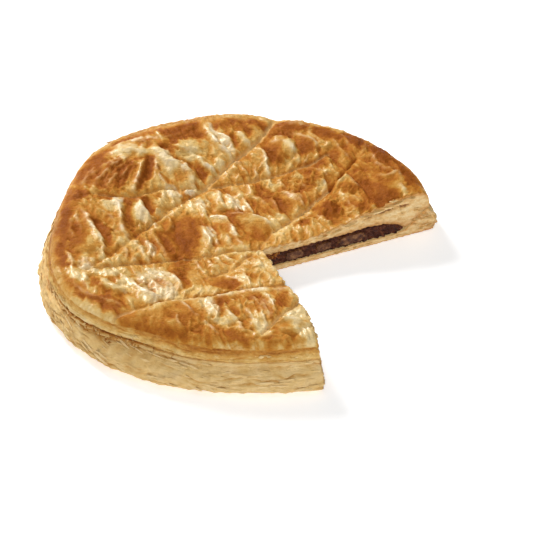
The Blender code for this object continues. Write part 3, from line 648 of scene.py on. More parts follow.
def wrinkles(x, y, smooth, nearest):
    """Small wrinkles, puffs and crinkles in millimetres, drawn out along WRINKLE_TURN. They fade in smooth
    places, where smooth is 1, and near the nearest scored line."""
    cosine, sine = math.cos(WRINKLE_TURN), math.sin(WRINKLE_TURN)
    along = (x * cosine + y * sine) / 2.2 + 4 * MM * drift(x, y, 25 * MM, 6)
    across = y * cosine - x * sine + 7 * MM * drift(x, y, 33 * MM, 5)
    wrinkle = np.abs(drift(along, across, 8 * MM, 11)) ** 0.8
    puff = puffs(along * 1.15, across, 7.5 * MM, 21, 3.2, 0.25)
    small_puff = puffs(along * 1.3, across, 3.2 * MM, 22, 3.0, 0.2)
    crinkle = 1.1 * crests(along, across, 6.5 * MM, 24) + 0.6 * crests(along * 1.4, across, 3.4 * MM, 25)
    calm = (1 - 0.7 * smooth) * (1 - 0.5 * hump(nearest, 0, 1.6 * MM))
    grain = 0.15 * drift(x, y, 2.2 * MM, 23)
    return (1.5 * wrinkle + 1.4 * puff + 0.45 * small_puff + crinkle) * calm + grain


def scores(x, y):
    """Distance to the nearest scored line, the depth of the groove there, how pale it is, with painted shade
    in the crease below 0, and how much the crust is held down near it, more for the deeper lines. A groove
    falls off as exp(-(way / width)^3)."""
    nearest = np.full_like(x, 1.0)
    groove, paleness_and_crease_shade, held = (np.zeros_like(x) for _ in range(3))
    sway = 0.5 * MM * drift(x, y, 9 * MM, 71)
    for half_width, depth, pale, points in SCORES:
        way = way_to_line(x + sway, y - sway, points)
        share = np.exp(-((way / (half_width * MM)) ** 3))
        groove = np.maximum(groove, depth * MM * share)
        paleness_and_crease_shade = np.where(np.abs(pale * share) > np.abs(paleness_and_crease_shade), pale * share, paleness_and_crease_shade)
        held = np.maximum(held, min(depth / 0.7, 1) * hump(way, 0, PILLOW_REACH))
        nearest = np.minimum(nearest, way)
    return nearest, groove, paleness_and_crease_shade, held


def crust(x, y):
    """Height of the lid's top over each place: a dish with pillows between the scored lines, blisters,
    folds and wrinkles on it, less the grooves. It rolls over at the rim, levels off at its highest and
    slopes down behind on the left. Gives also what the colour needs: how far up each bump a place is,
    with painted highlight on the lit crests and painted shade at the feet of the shaded sides added to it,
    how near a crest with a painted highlight, how pale a scored line is, with painted shade in its crease
    below 0, and where it seems to be from the viewpoint."""
    way = np.arctan2(y, x)
    share = np.hypot(x, y) / outline_radius(way)
    turn, reach = from_corner(x, y)
    edge = reach / reach_from_corner(turn) - seam_shift(turn)
    rim = RIM_HEIGHT + RIM_WAVE * np.cos(way - math.radians(RIM_WAVE_DEG))
    height = MIDDLE_HEIGHT + (rim - MIDDLE_HEIGHT) * smooth_step(*DISH_SHARES, share)
    swell = np.zeros_like(x)
    for _ in range(BLISTER_STEPS):
        seen_x, seen_y = seen_place(x, y, height + 0.8 * PILLOW_RISE + swell)
        swell = blisters(seen_x, seen_y)
    nearest, groove, paleness_and_crease_shade, held = scores(seen_x, seen_y)
    pillow = PILLOW_RISE * (1 - held)
    bent_x, bent_y = bent(seen_x, seen_y, RELIEF_WAVES)
    fold, sunk, crest, foot = folds(bent_x, bent_y, (y - VIEWPOINT[1]) / (VIEWPOINT[2] - height))
    smooth = np.zeros_like(x)
    for oval in SMOOTH:
        smooth = np.maximum(smooth, np.minimum(2.5 * dome(bent_x, bent_y, *oval), 1))
    bumps = wrinkles(x, y, smooth, nearest)
    crest *= np.clip(0.7 + 1.1 * drift(seen_x, seen_y, 7 * MM, 26), 0.15, 1)
    crest *= 1 - 0.6 * hump(nearest, 0, 4 * MM)
    fold *= 1 - 0.65 * hump(nearest, 0, 2.2 * MM)
    # The whitish places join the crest mask, which gives gloss and paints a highlight colour
    for *oval, amount in GLOSS_AND_PAINTED_HIGHLIGHT:
        patch = smooth_step(0, 0.7, dome(bent_x, bent_y, *oval))
        crest = np.maximum(crest, amount * patch * np.clip(0.25 + 0.4 * bumps, 0, 1))
    bumps *= 1 - 0.6 * np.minimum(fold / (1.5 * MM), 1)
    relief = pillow + swell + FOLD_GAIN * fold - sunk * (1 - crest) + bumps * MM - groove
    relief *= 1 - 0.5 * smooth_step(ROLL_SHARE - 0.05, SIDE_SHARE, edge)
    roll = np.clip((edge - ROLL_SHARE) / (ROLL_END_SHARE - ROLL_SHARE), 0, 1)
    height = height + relief - ROLL_DROP * (1 - np.sqrt(1 - roll**2))
    over = np.clip(height - LEVEL_OFF_HEIGHT, 0, None)
    height += LEVEL_OFF_RISE * np.tanh(over / LEVEL_OFF_RISE) - over
    height -= SLOPE_DROP * bell(way, SLOPE_DEG, SLOPE_HALF_DEG) * smooth_step(*SLOPE_SHARES, share)
    # up sets the colour: paler on bumps and browner in valleys, partly the crust's own colour and partly
    # painted shade, with a painted highlight on the lit crests and painted shade at the feet of the shaded
    # sides
    up = (0.6 * fold / MM + bumps) / 3.8 + 0.3 * crest + 0.15 * smooth - 0.8 * foot * (1 - crest)
    return height, up, np.clip(crest, 0, 1), paleness_and_crease_shade, seen_x, seen_y


def crust_brown_and_painted_light(x, y, up, crest):
    """How brown the crust is, from about 0 to 1: browner in the valleys, in the named places and along the
    rim, and less brown on the crests that run through brown places. Besides the crust's own baked colour
    this holds painted shade in the valleys and at the feet of the shaded sides, a painted highlight on the
    lit crests, and both in the named places. Gives also up to 1 outside the rim's band, where the crust is
    dry, and 0 inside it."""
    bent_x, bent_y = bent(x, y, BROWN_WAVES)
    brown = LEVEL_BROWN - VALLEY_BROWN_AND_SHADE * np.clip(up, -0.8, 1.1) + 0.12 * drift(x, y, 26 * MM, 57)
    for *oval, amount in BROWNING_SHADE_AND_HIGHLIGHT:
        brown = brown + amount * smooth_step(0, 0.8, dome(bent_x, bent_y, *oval))
    way = np.arctan2(y, x)
    share = np.hypot(x, y) / outline_radius(way)
    arc, across = way * ROUND_RADIUS, share * ROUND_RADIUS
    directions, *columns = np.array(RIM_BAND).T
    degrees = np.degrees(way) % 360
    middle, half, amount, outer = (np.interp(degrees, directions, column, period=360) for column in columns)
    broken = np.clip(0.75 + 0.7 * drift(arc, across, 20 * MM, 51), 0.2, 1)
    sway = 0.012 * drift(arc, across, 14 * MM, 52)
    brown = brown + amount * broken * hump(share + sway, middle, half)
    over = np.maximum(brown - BROWN_LIMIT, 0)
    brown = brown - over + BROWN_MARGIN * np.tanh(over / BROWN_MARGIN)
    # Painted highlight: the lit crests are made less brown where they run through brown places
    brown = brown - 0.45 * crest * smooth_step(0.45, 0.75, brown)
    outside = 0.28 + 0.14 * drift(arc * 2.5, across, 4 * MM, 58) + bells(way, BROWN_AND_SHADE_OUTSIDE)
    dry = smooth_step(outer - 0.025, outer + 0.025, share + 2 * sway)
    return brown + (outside - brown) * 0.8 * dry, dry * dryness(way)


def dryness(way):
    """How dry and tan the crust is outside the rim's band: most behind on the left, least in front."""
    return 0.3 + 0.7 * bell(way, 145, 50)


def seam_depth(turn):
    """How deep the seam between lid and base runs, in millimetres: deepest where it gapes."""
    return LEAST_SEAM_DEPTH + SEAM_GAPE_DEPTH * bell(turn, SEAM_GAPE_DEG, SEAM_GAPE_HALF_DEG)


def flaky_side(arc, height):
    """The flaky side: leaves that wander up and down, each sticking out by its own amount and parted from
    the next by a crevice that opens and closes, with lumps and a ragged fine grain over them. Gives how far
    a place stands out, in metres, and how deep in a crevice it is, from 0 to 1."""
    wander = 1.3 * drift(arc, height * 3, 38 * MM, 31) + 0.45 * drift(arc, height * 2, 12 * MM, 32)
    phase = height / LEAF_HEIGHT + wander
    number = np.floor(phase)
    nearest = number + np.round(phase - number)
    gap = np.abs(phase - nearest) * 2
    parted = smooth_step(-0.15, 0.6, drift(arc + nearest * 61 * MM, nearest * 17 * MM, 24 * MM, 36))

    def own_stand(leaf):
        return drift(arc + leaf * 37 * MM, leaf * 11 * MM, 9 * MM, 33)

    own, other = own_stand(number), own_stand(2 * nearest - 1 - number)
    stand = own + (other - own) * 0.5 * (1 - smooth_step(0, 0.5, gap))
    lumps = drift(arc, height * 1.8, 9 * MM, 35) + 0.7 * drift(arc, height * 1.8, 4 * MM, 40)
    grain = 0.35 * drift(arc, height * 1.5, 2.6 * MM, 34) + 0.22 * drift(arc, height * 1.5, 1.3 * MM, 37)
    hollow = parted * (1 - smooth_step(0, 0.6, gap))
    return (1.1 * stand + 0.85 * lumps + grain - 1.2 * hollow) * MM, hollow


def tucked_in(turn, height):
    """How far the base's foot is tucked in at a place on its side: most low down, and none at the seam."""
    full, none = TUCK_HEIGHTS
    return TUCK * bell(turn, TUCK_DEG, TUCK_HALF_DEG) * smooth_step(none, full, height)


def ring_counts(shares, most):
    """Steps of each ring: the most near the edge, halved inside a half of the way, a quarter and so on."""
    halvings = np.floor(np.log2(1 / np.clip(shares, 0.004, 1))).astype(int)
    return np.maximum(most >> halvings, 5)


def hidden_counts(shares, most):
    """Steps of the rings of a hidden face, from the edge inwards: halved at each ring until 40 are left,
    and no more than a ring on a seen face has."""
    from_edge = np.maximum(most >> np.arange(len(shares)), 40)
    return np.minimum(from_edge, ring_counts(shares, most))


def stitch(first_a, count_a, first_b, count_b):
    """Faces between two rings of points that have the same count, or twice the other's, or are one point."""
    i = np.arange(max(min(count_a, count_b), 1) if count_a and count_b else max(count_a, count_b))
    if count_a == 0:
        return [np.stack([np.full_like(i, first_a), first_b + i, first_b + i + 1], 1)]
    if count_b == 0:
        return [np.stack([first_a + i, np.full_like(i, first_b), first_a + i + 1], 1)]
    if count_a == count_b:
        return [np.stack([first_a + i, first_b + i, first_b + i + 1, first_a + i + 1], 1)]
    if count_b == 2 * count_a:
        a, b = first_a + i, first_b + 2 * i
        return [np.stack(three, 1) for three in ((a, b, b + 1), (a, b + 1, a + 1), (a + 1, b + 1, b + 2))]
    a, b = first_a + 2 * i, first_b + i
    return [np.stack(three, 1) for three in ((a, b, a + 1), (a + 1, b, b + 1), (a + 1, b + 1, a + 2))]


class Layer:
    """A closed layer of the round, made of rings from the middle of its top, round its side, to the middle
    below.

    steps holds how many steps each ring has, 0 at both ends of the axis, and rows holds the number by which
    shape knows each ring: shape(row, turn) gives the points of all rings. The cut faces are grids of
    cut_rows rows between the rings before the middle one and the rings after it, which are as many. part is
    0 on the rings and 1 or 2 on the inside of a cut face, and depth runs from 0 at the top edge of a cut
    face to 1 at its bottom edge.
    """

    def __init__(self, steps, rows, cut_rows, shape):
        half = len(rows) // 2
        turns = [FIRST_CUT + KEPT_ARC * (np.linspace(0, 1, n + 1) if n else np.zeros(1)) for n in steps]
        sizes = np.array([len(turn) for turn in turns])
        points = shape(np.repeat(rows, sizes), np.concatenate(turns))
        firsts = np.cumsum(sizes) - sizes
        self.ring_faces = []
        for first_a, count_a, first_b, count_b in zip(firsts, steps, firsts[1:], steps[1:]):
            self.ring_faces.append(stitch(first_a, count_a, first_b, count_b))
        across = np.linspace(0, 1, cut_rows + 1)[1:-1]
        axis_index = len(points) + np.arange(len(across))
        blocks = [points, points[0] + (points[-1] - points[0]) * across[:, None]]
        depths = [np.repeat(np.arange(len(rows)) > half, sizes).astype(float), across]
        parts = [np.zeros(len(points)), np.ones(len(across))]
        self.row = [np.repeat(rows, sizes), np.full(len(across), rows[0])]
        self.cut_faces = []
        total = len(points) + len(across)
        for end in (0, 1):
            edge = firsts + end * np.array(steps)
            top, bottom, tip = edge[:half], edge[half + 1:][::-1], edge[half]
            upper, lower = points[top[1:], None], points[bottom[1:], None]
            inner = (upper + (lower - upper) * across[None, :, None]).reshape(-1, 3)
            index = np.empty((half, cut_rows + 1), int)
            index[:, 0], index[:, -1], index[0, 1:-1] = top, bottom, axis_index
            index[1:, 1:-1] = total + np.arange(len(inner)).reshape(half - 1, len(across))
            quads = np.stack([index[:-1, :-1], index[:-1, 1:], index[1:, 1:], index[1:, :-1]], -1)
            quads = quads.reshape(-1, 4)
            fan = np.stack([index[-1, :-1], index[-1, 1:], np.full(cut_rows, tip)], 1)
            self.cut_faces += [quads[:, ::-1], fan[:, ::-1]] if end else [quads, fan]
            blocks.append(inner)
            depths.append(np.tile(across, half - 1))
            parts.append(np.full(len(inner), 1 + end))
            self.row.append(np.repeat(rows[1:half], len(across)))
            total += len(inner)
        self.points, self.depth = np.concatenate(blocks), np.concatenate(depths)
        self.part, self.row = np.concatenate(parts), np.concatenate(self.row)


def fray_cuts(points, relief):
    """Moves the points on either cut face along its normal by relief(distance from the corner, height,
    shift), and those close behind it by less. The shift moves the noise, so that the faces differ."""
    for (cut, side), shift in zip(CUTS, (0, CUT_NOISE_SHIFT)):
        heading, normal = cut_frame(cut, side)
        away = points[:, :2] - CUT_CORNER
        along, behind = away @ heading[:2], away @ normal[:2]
        near = hump(behind, 0, 1.2 * MM) * smooth_step(0, 3 * MM, along)
        move = relief(along, points[:, 2], shift) * near
        points[:, :2] += normal[:2] * move[:, None]


def make_mesh(name, points, face_groups, values, materials):
    """A smooth mesh object from points, a list of face arrays for each material, and named values."""
    data = bpy.data.meshes.new(name)
    parts = [part for group in face_groups for part in group]
    corners = np.concatenate([part.ravel() for part in parts])
    sizes = np.concatenate([np.full(len(part), part.shape[1]) for part in parts])
    owners = np.concatenate([np.full(len(part), i) for i, group in enumerate(face_groups) for part in group])
    data.vertices.add(len(points))
    data.loops.add(len(corners))
    data.polygons.add(len(sizes))
    data.vertices.foreach_set("co", points.ravel())
    data.loops.foreach_set("vertex_index", corners.astype(np.int32))
    data.polygons.foreach_set("loop_start", (np.cumsum(sizes) - sizes).astype(np.int32))
    data.polygons.foreach_set("material_index", owners.astype(np.int32))
    data.update(calc_edges=True)
    data.validate()
    for label, value in values.items():
        data.attributes.new(label, "FLOAT", "POINT").data.foreach_set("value", value.astype(np.float32))
    data.shade_smooth()
    for material in materials:
        data.materials.append(material)
    thing = bpy.data.objects.new(name, data)
    bpy.context.scene.collection.objects.link(thing)
    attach(thing, "root")
    return thing


def section(share, profile):
    """Height, in metres, of a profile of (radius, height) in millimetres at a share of the mean radius."""
    radii, heights = np.array(profile).T
    return np.interp(share * ROUND_RADIUS / MM, radii, heights) * MM


# Profiles as (radius, height) in millimetres at the mean radius, as on the plain model
LID_UNDERSIDE = (
    (0, 13.6), (33, 14.2), (66, 14.9), (80, 15.6), (92, 14.9), (103.4, 11.4), (108.6, 7.6), (112, 9.6),
    (117, 15.6), (121.0, 18.9),
)
BASE_TOP = ((0, 4.0), (66, 4.0), (103, 4.2), (109, 5.6), (112, 9.2), (117, 15.2), (121.4, 18.6))
BASE_SIDE = (
    (121.4, 18.6), (123.6, 18.5), (124.4, 17.8), (124.7, 17.0), (123.9, 16.5), (125.3, 15.9), (127.8, 14.4),
    (131.0, 11.6), (132.8, 7.8), (132.9, 4.6), (131.4, 1.6), (128.8, 0),
)
FILLING_TOP = ((0, 13.5), (33, 14.1), (66, 14.8), (92, 13.7), (103, 10.7), (108, 7.4))
FILLING_FOOT = ((0, 4.1), (66, 4.1), (102.6, 4.3), (107, 5.7), (108, 7.4))

# Steps round the pastry's side and round the filling's edge
SIDE_STEPS = 640
FILLING_STEPS = 40

# Rings over a layer's face, down its side where it has one, and rows down its cuts
LID_ROWS = (158, 17, 15)
BASE_ROWS = (131, 65, 9)
FILLING_ROWS = (150, 20)


def pastry_rows(face_rows, side_rows):
    """Row numbers of lid or base: from the middle out, down the side, and all, with those back in."""
    face = np.linspace(0, 1, face_rows)
    side = np.linspace(1, 2, side_rows)[1:-1]
    return face, side, np.concatenate([face, side, 3 - face[::-1]])


def base_share(height):
    """Where the base's side is at a height, as a share of the mean radius."""
    radii, heights = np.array(BASE_SIDE)[::-1].T
    return np.interp(height, heights * MM, radii) / (ROUND_RADIUS / MM)


def make_lid(crust_material, cut_material):
    """The lid: rows 0 to 1 run out over the top, 1 to 2 down the side and 2 to 3 back in under it. The side
    bulges along a quarter wave, is flaky, and ends in a ragged lip that turns in over the seam."""
    top, side, rows = pastry_rows(*LID_ROWS[:2])
    side_steps = np.full(len(side), SIDE_STEPS)
    steps = np.concatenate([ring_counts(top, SIDE_STEPS), side_steps, hidden_counts(top[::-1], SIDE_STEPS)])
    steps[0] = steps[-1] = 0

    def shape(row, turn):
        under = (3 - row) * LID_UNDERSIDE[-1][0] * MM / ROUND_RADIUS
        x, y = place(np.where(row < 2, np.minimum(row, 1) * SIDE_SHARE, under), turn)
        down = np.clip(row - 1, 0, 1)
        height = np.zeros_like(x)
        seen = row < 2
        height[seen] = crust(x[seen], y[seen])[0]
        height += (SEAM_HEIGHT - 0.1 * MM - height) * down
        height = np.where(seen, height, section(under, LID_UNDERSIDE))
        arc, level = turn * ROUND_RADIUS, np.zeros_like(turn)
        turned_in = np.clip((down - LIP_START) / (1 - LIP_START), 0, 1)
        lip = 1 - np.sqrt(np.maximum(1 - turned_in**2, 0))
        ragged = 1 + 0.5 * drift(arc, level, 6 * MM, 44) + 0.4 * drift(arc, level, 2.5 * MM, 45)
        out = (SIDE_BULGE * np.sin(math.pi * down / 2) ** 0.8 - seam_depth(turn) * lip * ragged) * MM
        rough = 0.5 * MM * drift(arc, height, 7 * MM, 41)
        rough = rough + LID_RELIEF_SHARE * flaky_side(arc, height)[0] * smooth_step(0, 0.5, down)
        out = (out + rough * np.sin(math.pi * down) ** 0.4) * seen
        return np.stack([x + out * np.cos(turn), y + out * np.sin(turn), height], 1)

    lid = Layer(steps, rows, LID_ROWS[2], shape)
    x, y, z = lid.points.T
    _, up, crest, paleness_and_crease_shade, seen_x, seen_y = crust(x, y)
    # This brown holds painted shade and painted highlight besides the crust's own colour, and the creases of
    # scored lines below 0 add painted shade
    brown, dry = crust_brown_and_painted_light(seen_x, seen_y, up - np.maximum(-paleness_and_crease_shade, 0), crest)
    # gap marks the air gap on the cut faces, where shade is painted
    gap = air_gap(from_corner(x, y)[1], z) * (lid.part > 0)
    fray_cuts(lid.points, pastry_cut_relief)
    on_top = (lid.part == 0) & (lid.row <= 1)
    down = np.clip(lid.row - 1, 0, 1)
    brown = np.where(on_top, brown, np.where(lid.row < 2, lid_side_brown_and_shade(lid.points, down), 0.15))
    values = {
        "brown": np.clip(brown, 0, 1.2),
        "pale": np.where(on_top, np.maximum(paleness_and_crease_shade, 0), 0),
        # crest marks the painted highlight on the lit crests, and their gloss
        "crest": np.where(on_top, crest, 0),
        "dry": np.where(on_top, dry, dryness(np.arctan2(y, x))),
        "side": np.where(lid.part == 0, smooth_step(0, 0.45, down) * (lid.row > 1), 1),
        "depth": lid.depth,
        "gap": gap,
    }
    faces = [sum(lid.ring_faces, []), lid.cut_faces]
    lid_piece = make_mesh("lid", lid.points, faces, values, [crust_material, cut_material])
    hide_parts("lid_pastry")


def lid_side_brown_and_shade(points, down):
    """How brown the lid's side is: less from the rim downwards, darker at the lip where the seam gapes and in
    the crevices, which is painted shade, browner in the named directions, partly as painted shade, and
    mottled by noise."""
    x, y, z = points.T
    arc = arc_along_side(x, y)
    shade_at_lip = smooth_step(0.85, 1, down) * bell(arc / ROUND_RADIUS, 205, 35)
    mottled = drift(arc, z * 2, 7 * MM, 46) + 0.8 * drift(arc, z * 3, 3 * MM, 47)
    brown = 0.34 - 0.34 * smooth_step(0, 0.8, down) + 0.3 * shade_at_lip + bells(np.arctan2(y, x), LID_SIDE_BROWN_AND_SHADE)
    return brown + 0.10 * mottled + 0.3 * flaky_side(arc, z)[1]


def air_gap(along, height):
    """1 in the narrow gap that climbs outwards under the lid's top leaves near the rim, 0 elsewhere."""
    level = AIR_GAP_HEIGHT + AIR_GAP_CLIMB * (along - AIR_GAP_START)
    level = level + 0.8 * MM * drift(along, np.zeros_like(along), 9 * MM, 65)
    opening = smooth_step(*AIR_GAP_OPENS, along) * smooth_step(*AIR_GAP_CLOSES, along)
    return hump(height, level, AIR_GAP_HALF) * opening


def pastry_cut_relief(along, height, shift):
    """Thin leaves lying one on another in the cut: round ridges that wander, with crumbs, and an air gap."""
    wander = 0.8 * drift(along + shift, height * 3, 18 * MM, 61)
    leaves = np.abs(np.sin(math.pi * (height / CUT_LEAF_HEIGHT + wander)))
    crumbly = drift(along + shift, height * 1.3, 2.4 * MM, 62)
    return (0.22 * leaves + 0.7 * crumbly - 0.25 - 2.4 * air_gap(along, height)) * MM


def filling_cut_relief(along, height, shift):
    """Lumps and torn hollows of the filling in the cut: the size, without its sign, of two noises."""
    coarse = np.abs(drift(along + shift, height, 4.5 * MM, 63))
    fine = np.abs(drift(along + shift, height, 1.9 * MM, 64))
    return (2.6 * (coarse + 0.6 * fine) - 1.9) * MM


def make_base(side_material, cut_material):
    """The base: rows 0 to 1 run out under the filling, 1 to 2 down the side and 2 to 3 back in below. The
    side is flaky, drawn in below the seam where that gapes, and tucked in at the foot at the front left."""
    inner, side, rows = pastry_rows(*BASE_ROWS[:2])
    face_steps = hidden_counts(inner[::-1], SIDE_STEPS)
    steps = np.concatenate([face_steps[::-1], np.full(len(side), SIDE_STEPS), face_steps])
    steps[0] = steps[-1] = 0
    edge_share = BASE_TOP[-1][0] * MM / ROUND_RADIUS
    foot_share = BASE_SIDE[-1][0] * MM / ROUND_RADIUS
    radii, heights = np.array(BASE_SIDE).T
    lengths = np.concatenate([[0], np.cumsum(np.hypot(np.diff(radii), np.diff(heights)))])
    lengths = lengths / lengths[-1]

    def shape(row, turn):
        down = np.clip(row - 1, 0, 1)
        side_share = np.interp(down, lengths, radii) * MM / ROUND_RADIUS
        share = np.where(row <= 1, row * edge_share, np.where(row >= 2, (3 - row) * foot_share, side_share))
        side_height = np.where(row >= 2, 0, np.interp(down, lengths, heights) * MM)
        height = np.where(row <= 1, section(share, BASE_TOP), side_height)
        x, y = place(share, turn)
        on_side = smooth_step(0, 0.12, down) * smooth_step(1, 0.95, down)
        out = flaky_side(turn * ROUND_RADIUS, height)[0] * on_side
        out -= 0.4 * (seam_depth(turn) - LEAST_SEAM_DEPTH) * MM * hump(down, 0.2, 0.1)
        out -= tucked_in(turn, height) * (row > 1) * np.minimum(3 - row, 1)
        return np.stack([x + out * np.cos(turn), y + out * np.sin(turn), height], 1)

    base = Layer(steps, rows, BASE_ROWS[2], shape)
    x, y, z = base.points.T
    side_brown_and_shade = base_side_brown_and_shade(arc_along_side(x, y), z)
    fray_cuts(base.points, pastry_cut_relief)
    on_side = (base.part == 0) & (base.row > 1) & (base.row < 2)
    values = {
        "brown": np.where(on_side, side_brown_and_shade, np.where(base.row <= 1, 0.15, 0.45)),
        "pale": np.zeros(len(x)),
        "side": np.ones(len(x)),
        "depth": base.depth,
        "gap": np.zeros(len(x)),
    }
    faces = [sum(base.ring_faces, []), base.cut_faces]
    base_piece = make_mesh("base", base.points, faces, values, [side_material, cut_material])
    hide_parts("base_pastry")


def base_side_brown_and_shade(arc, height):
    """How brown the base's side is: pale, mottled by noise, browner at the front left, and darker in the
    crevices and along its top edge by the seam, most at the front left, which is painted shade."""
    mottled = drift(arc, height * 1.3, 8 * MM, 38) + 0.7 * drift(arc, height * 1.3, 3 * MM, 39)
    seam_shade = hump(height, 16.4 * MM, 0.5 * MM) * (0.6 + 0.6 * drift(arc, height, 12 * MM, 43))
    seam_shade = seam_shade + smooth_step(18.3 * MM, 18.6 * MM, height)
    at_front_left = 0.10 * bell(arc / ROUND_RADIUS, 205, 40) * (1 + 3 * seam_shade)
    return 0.12 + at_front_left + 0.09 * mottled + 0.22 * flaky_side(arc, height)[1]


def make_filling(material):
    """The filling: rows 0 to 1 run out over it and 2 to 3 back in below, and they meet in its thin edge."""
    inner = np.linspace(0, 1, FILLING_ROWS[0])[:-1]
    rows = np.concatenate([inner, [1.5], 3 - inner[::-1]])
    face_steps = ring_counts(inner, FILLING_STEPS)
    steps = np.concatenate([face_steps, [FILLING_STEPS], face_steps[::-1]])
    steps[0] = steps[-1] = 0
    edge_share = FILLING_TOP[-1][0] * MM / ROUND_RADIUS

    def shape(row, turn):
        share = edge_share * np.clip(np.minimum(row, 3 - row), 0, 1)
        at_edge = row == 1.5
        x, y = place(np.where(at_edge, edge_share, share), turn)
        height = np.where(row < 1.5, section(share, FILLING_TOP), section(share, FILLING_FOOT))
        height = np.where(at_edge, FILLING_TOP[-1][1] * MM, height)
        return np.stack([x, y, height], 1)

    filling = Layer(steps, rows, FILLING_ROWS[1], shape)
    fray_cuts(filling.points, filling_cut_relief)
    faces = sum(filling.ring_faces, []) + filling.cut_faces
    piece = make_mesh("chocolate_filling", filling.points, [faces], {}, [material])
    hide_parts("filling")


# How many dice of pear show in each cut. How much of its box a dice fills along the cut, how deep it is for
# its length, and how much of its box it fills in height
PEARS_IN_A_CUT = 3
PEAR_LENGTH = 0.85
PEAR_DEPTH = 0.8
PEAR_HEIGHT = 0.95


def make_pear(number, material):
    """A dice of pear: a ball swollen towards a box, dented by noise, and sliced off just outside its cut."""
    name = f"pear_piece_{number}"
    low, high = (np.array(corner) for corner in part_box(name))
    cut, side = CUTS[number > PEARS_IN_A_CUT]
    heading, normal = cut_frame(cut, side)
    ball, faces = ball_grid(40, 22)
    box = ball / np.maximum(np.abs(ball).max(1, keepdims=True), 0.001)
    lump = 0.6 * ball + 0.4 * box
    seed = PEAR_SEED + number
    dents = drift(lump[:, 0] * 3 + lump[:, 2], lump[:, 1] * 3 - lump[:, 2] * 2, 1.0, seed)
    lump *= 1 + 0.2 * dents[:, None]
    size = (high - low) / 2
    length = abs(size[:2] @ np.abs(heading[:2])) * PEAR_LENGTH
    axes = np.array((length * heading, length * PEAR_DEPTH * normal, (0, 0, size[2] * PEAR_HEIGHT)))
    points = lump @ axes + (low + high) / 2
    out = (points[:, :2] - CUT_CORNER) @ normal[:2]
    skin = 0.5 * MM + 0.25 * MM * drift(points[:, 0] * 2, points[:, 2] * 2, 2.5 * MM, seed)
    points[:, :2] += normal[:2] * np.minimum(skin - out, 0)[:, None]
    faces = [part[:, ::side] for part in faces]
    piece = make_mesh(f"pear_dice_{number}", points, [faces], {}, [material])
    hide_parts(name)


def ball_grid(around, up):
    """Points of a ball of radius 1 on rings, with both poles, and its faces."""
    turns, falls = np.linspace(0, 2 * math.pi, around + 1)[:-1], np.linspace(0, math.pi, up + 2)[1:-1]
    turns, falls = np.meshgrid(turns, falls)
    ball = np.stack([np.sin(falls) * np.cos(turns), np.sin(falls) * np.sin(turns), np.cos(falls)], -1)
    ball = np.concatenate([ball.reshape(-1, 3), [(0, 0, 1), (0, 0, -1)]])
    index = np.arange(up * around).reshape(up, around)
    after = np.roll(index, -1, 1)
    quads = np.stack([index[:-1], index[1:], after[1:], after[:-1]], -1).reshape(-1, 4)
    top = np.stack([np.full(around, up * around), index[0], after[0]], 1)
    foot = np.stack([np.full(around, up * around + 1), after[-1], index[-1]], 1)
    return ball, [quads, top, foot]


def repeated(faces, count, points_each):
    """The faces of one thing repeated for each of count things."""
    steps = np.arange(count)[:, None, None] * points_each
    return [(part[None] + steps).reshape(-1, part.shape[1]) for part in faces]


def side_place(turn, height):
    """Places a little inside the flaky side of the base or the lid at a height, and the way out from them."""
    on_base = height < SEAM_HEIGHT
    x, y = place(np.where(on_base, base_share(height), SIDE_SHARE), turn)
    out = flaky_side(turn * ROUND_RADIUS, height)[0]
    out = np.where(on_base, out - tucked_in(turn, height), LID_RELIEF_SHARE * out + 1.2 * MM)
    away = np.stack([np.cos(turn), np.sin(turn), np.zeros_like(turn)], 1)
    return np.stack([x, y, height], 1) + away * out[:, None], away


# How many crumbs and flakes there are, and the least and most half length, half height and curl of the
# flakes in millimetres
SEAM_CRUMBS = 190
CORNER_CRUMBS = 40
SIDE_FLAKES = 300
CUT_FLAKES = 150
SIDE_FLAKE_SIZES = ((2.0, 7.0), (0.4, 1.1), (0.0, 0.4))
CUT_FLAKE_SIZES = ((1.2, 3.6), (0.5, 1.5), (-0.5, 0.5))


def make_crumbs(material):
    """Crumbs in the gaping seam and at the corner of the cut: little balls, squeezed and dented at random."""
    generator = np.random.default_rng(CRUMB_SEED)
    count = SEAM_CRUMBS + CORNER_CRUMBS
    turn = np.radians(np.clip(generator.normal(SEAM_GAPE_DEG, 11, SEAM_CRUMBS), 196, 242))
    height = SEAM_HEIGHT + generator.normal(-1.0, 1.1, SEAM_CRUMBS) * MM
    middle, away = side_place(turn, height)
    middle -= away * 0.8 * MM
    along = generator.uniform(0, 14, CORNER_CRUMBS) * MM
    aside = generator.uniform(0, 0.8, CORNER_CRUMBS) * MM
    heading, out = cut_frame(*CUTS[0])
    flat = CUT_CORNER + along[:, None] * heading[:2] + aside[:, None] * out[:2]
    corner = np.column_stack([flat, generator.uniform(10.5, 14.5, CORNER_CRUMBS) * MM])
    middle = np.concatenate([middle, corner])
    ball, faces = ball_grid(9, 5)
    dents = generator.uniform(0.65, 1.25, (count, len(ball), 1))
    sizes = generator.uniform(0.35, 1.15, (count, 1, 1)) * generator.uniform(0.5, 1.3, (count, 1, 3)) * MM
    points = middle[:, None] + ball[None] * dents * sizes
    brown = [generator.uniform(0.15, 0.6, SEAM_CRUMBS), generator.uniform(0.5, 1.1, CORNER_CRUMBS)]
    values = {"brown": np.repeat(np.concatenate(brown), len(ball))}
    make_mesh("crumbs", points.reshape(-1, 3), [repeated(faces, count, len(ball))], values, [material])


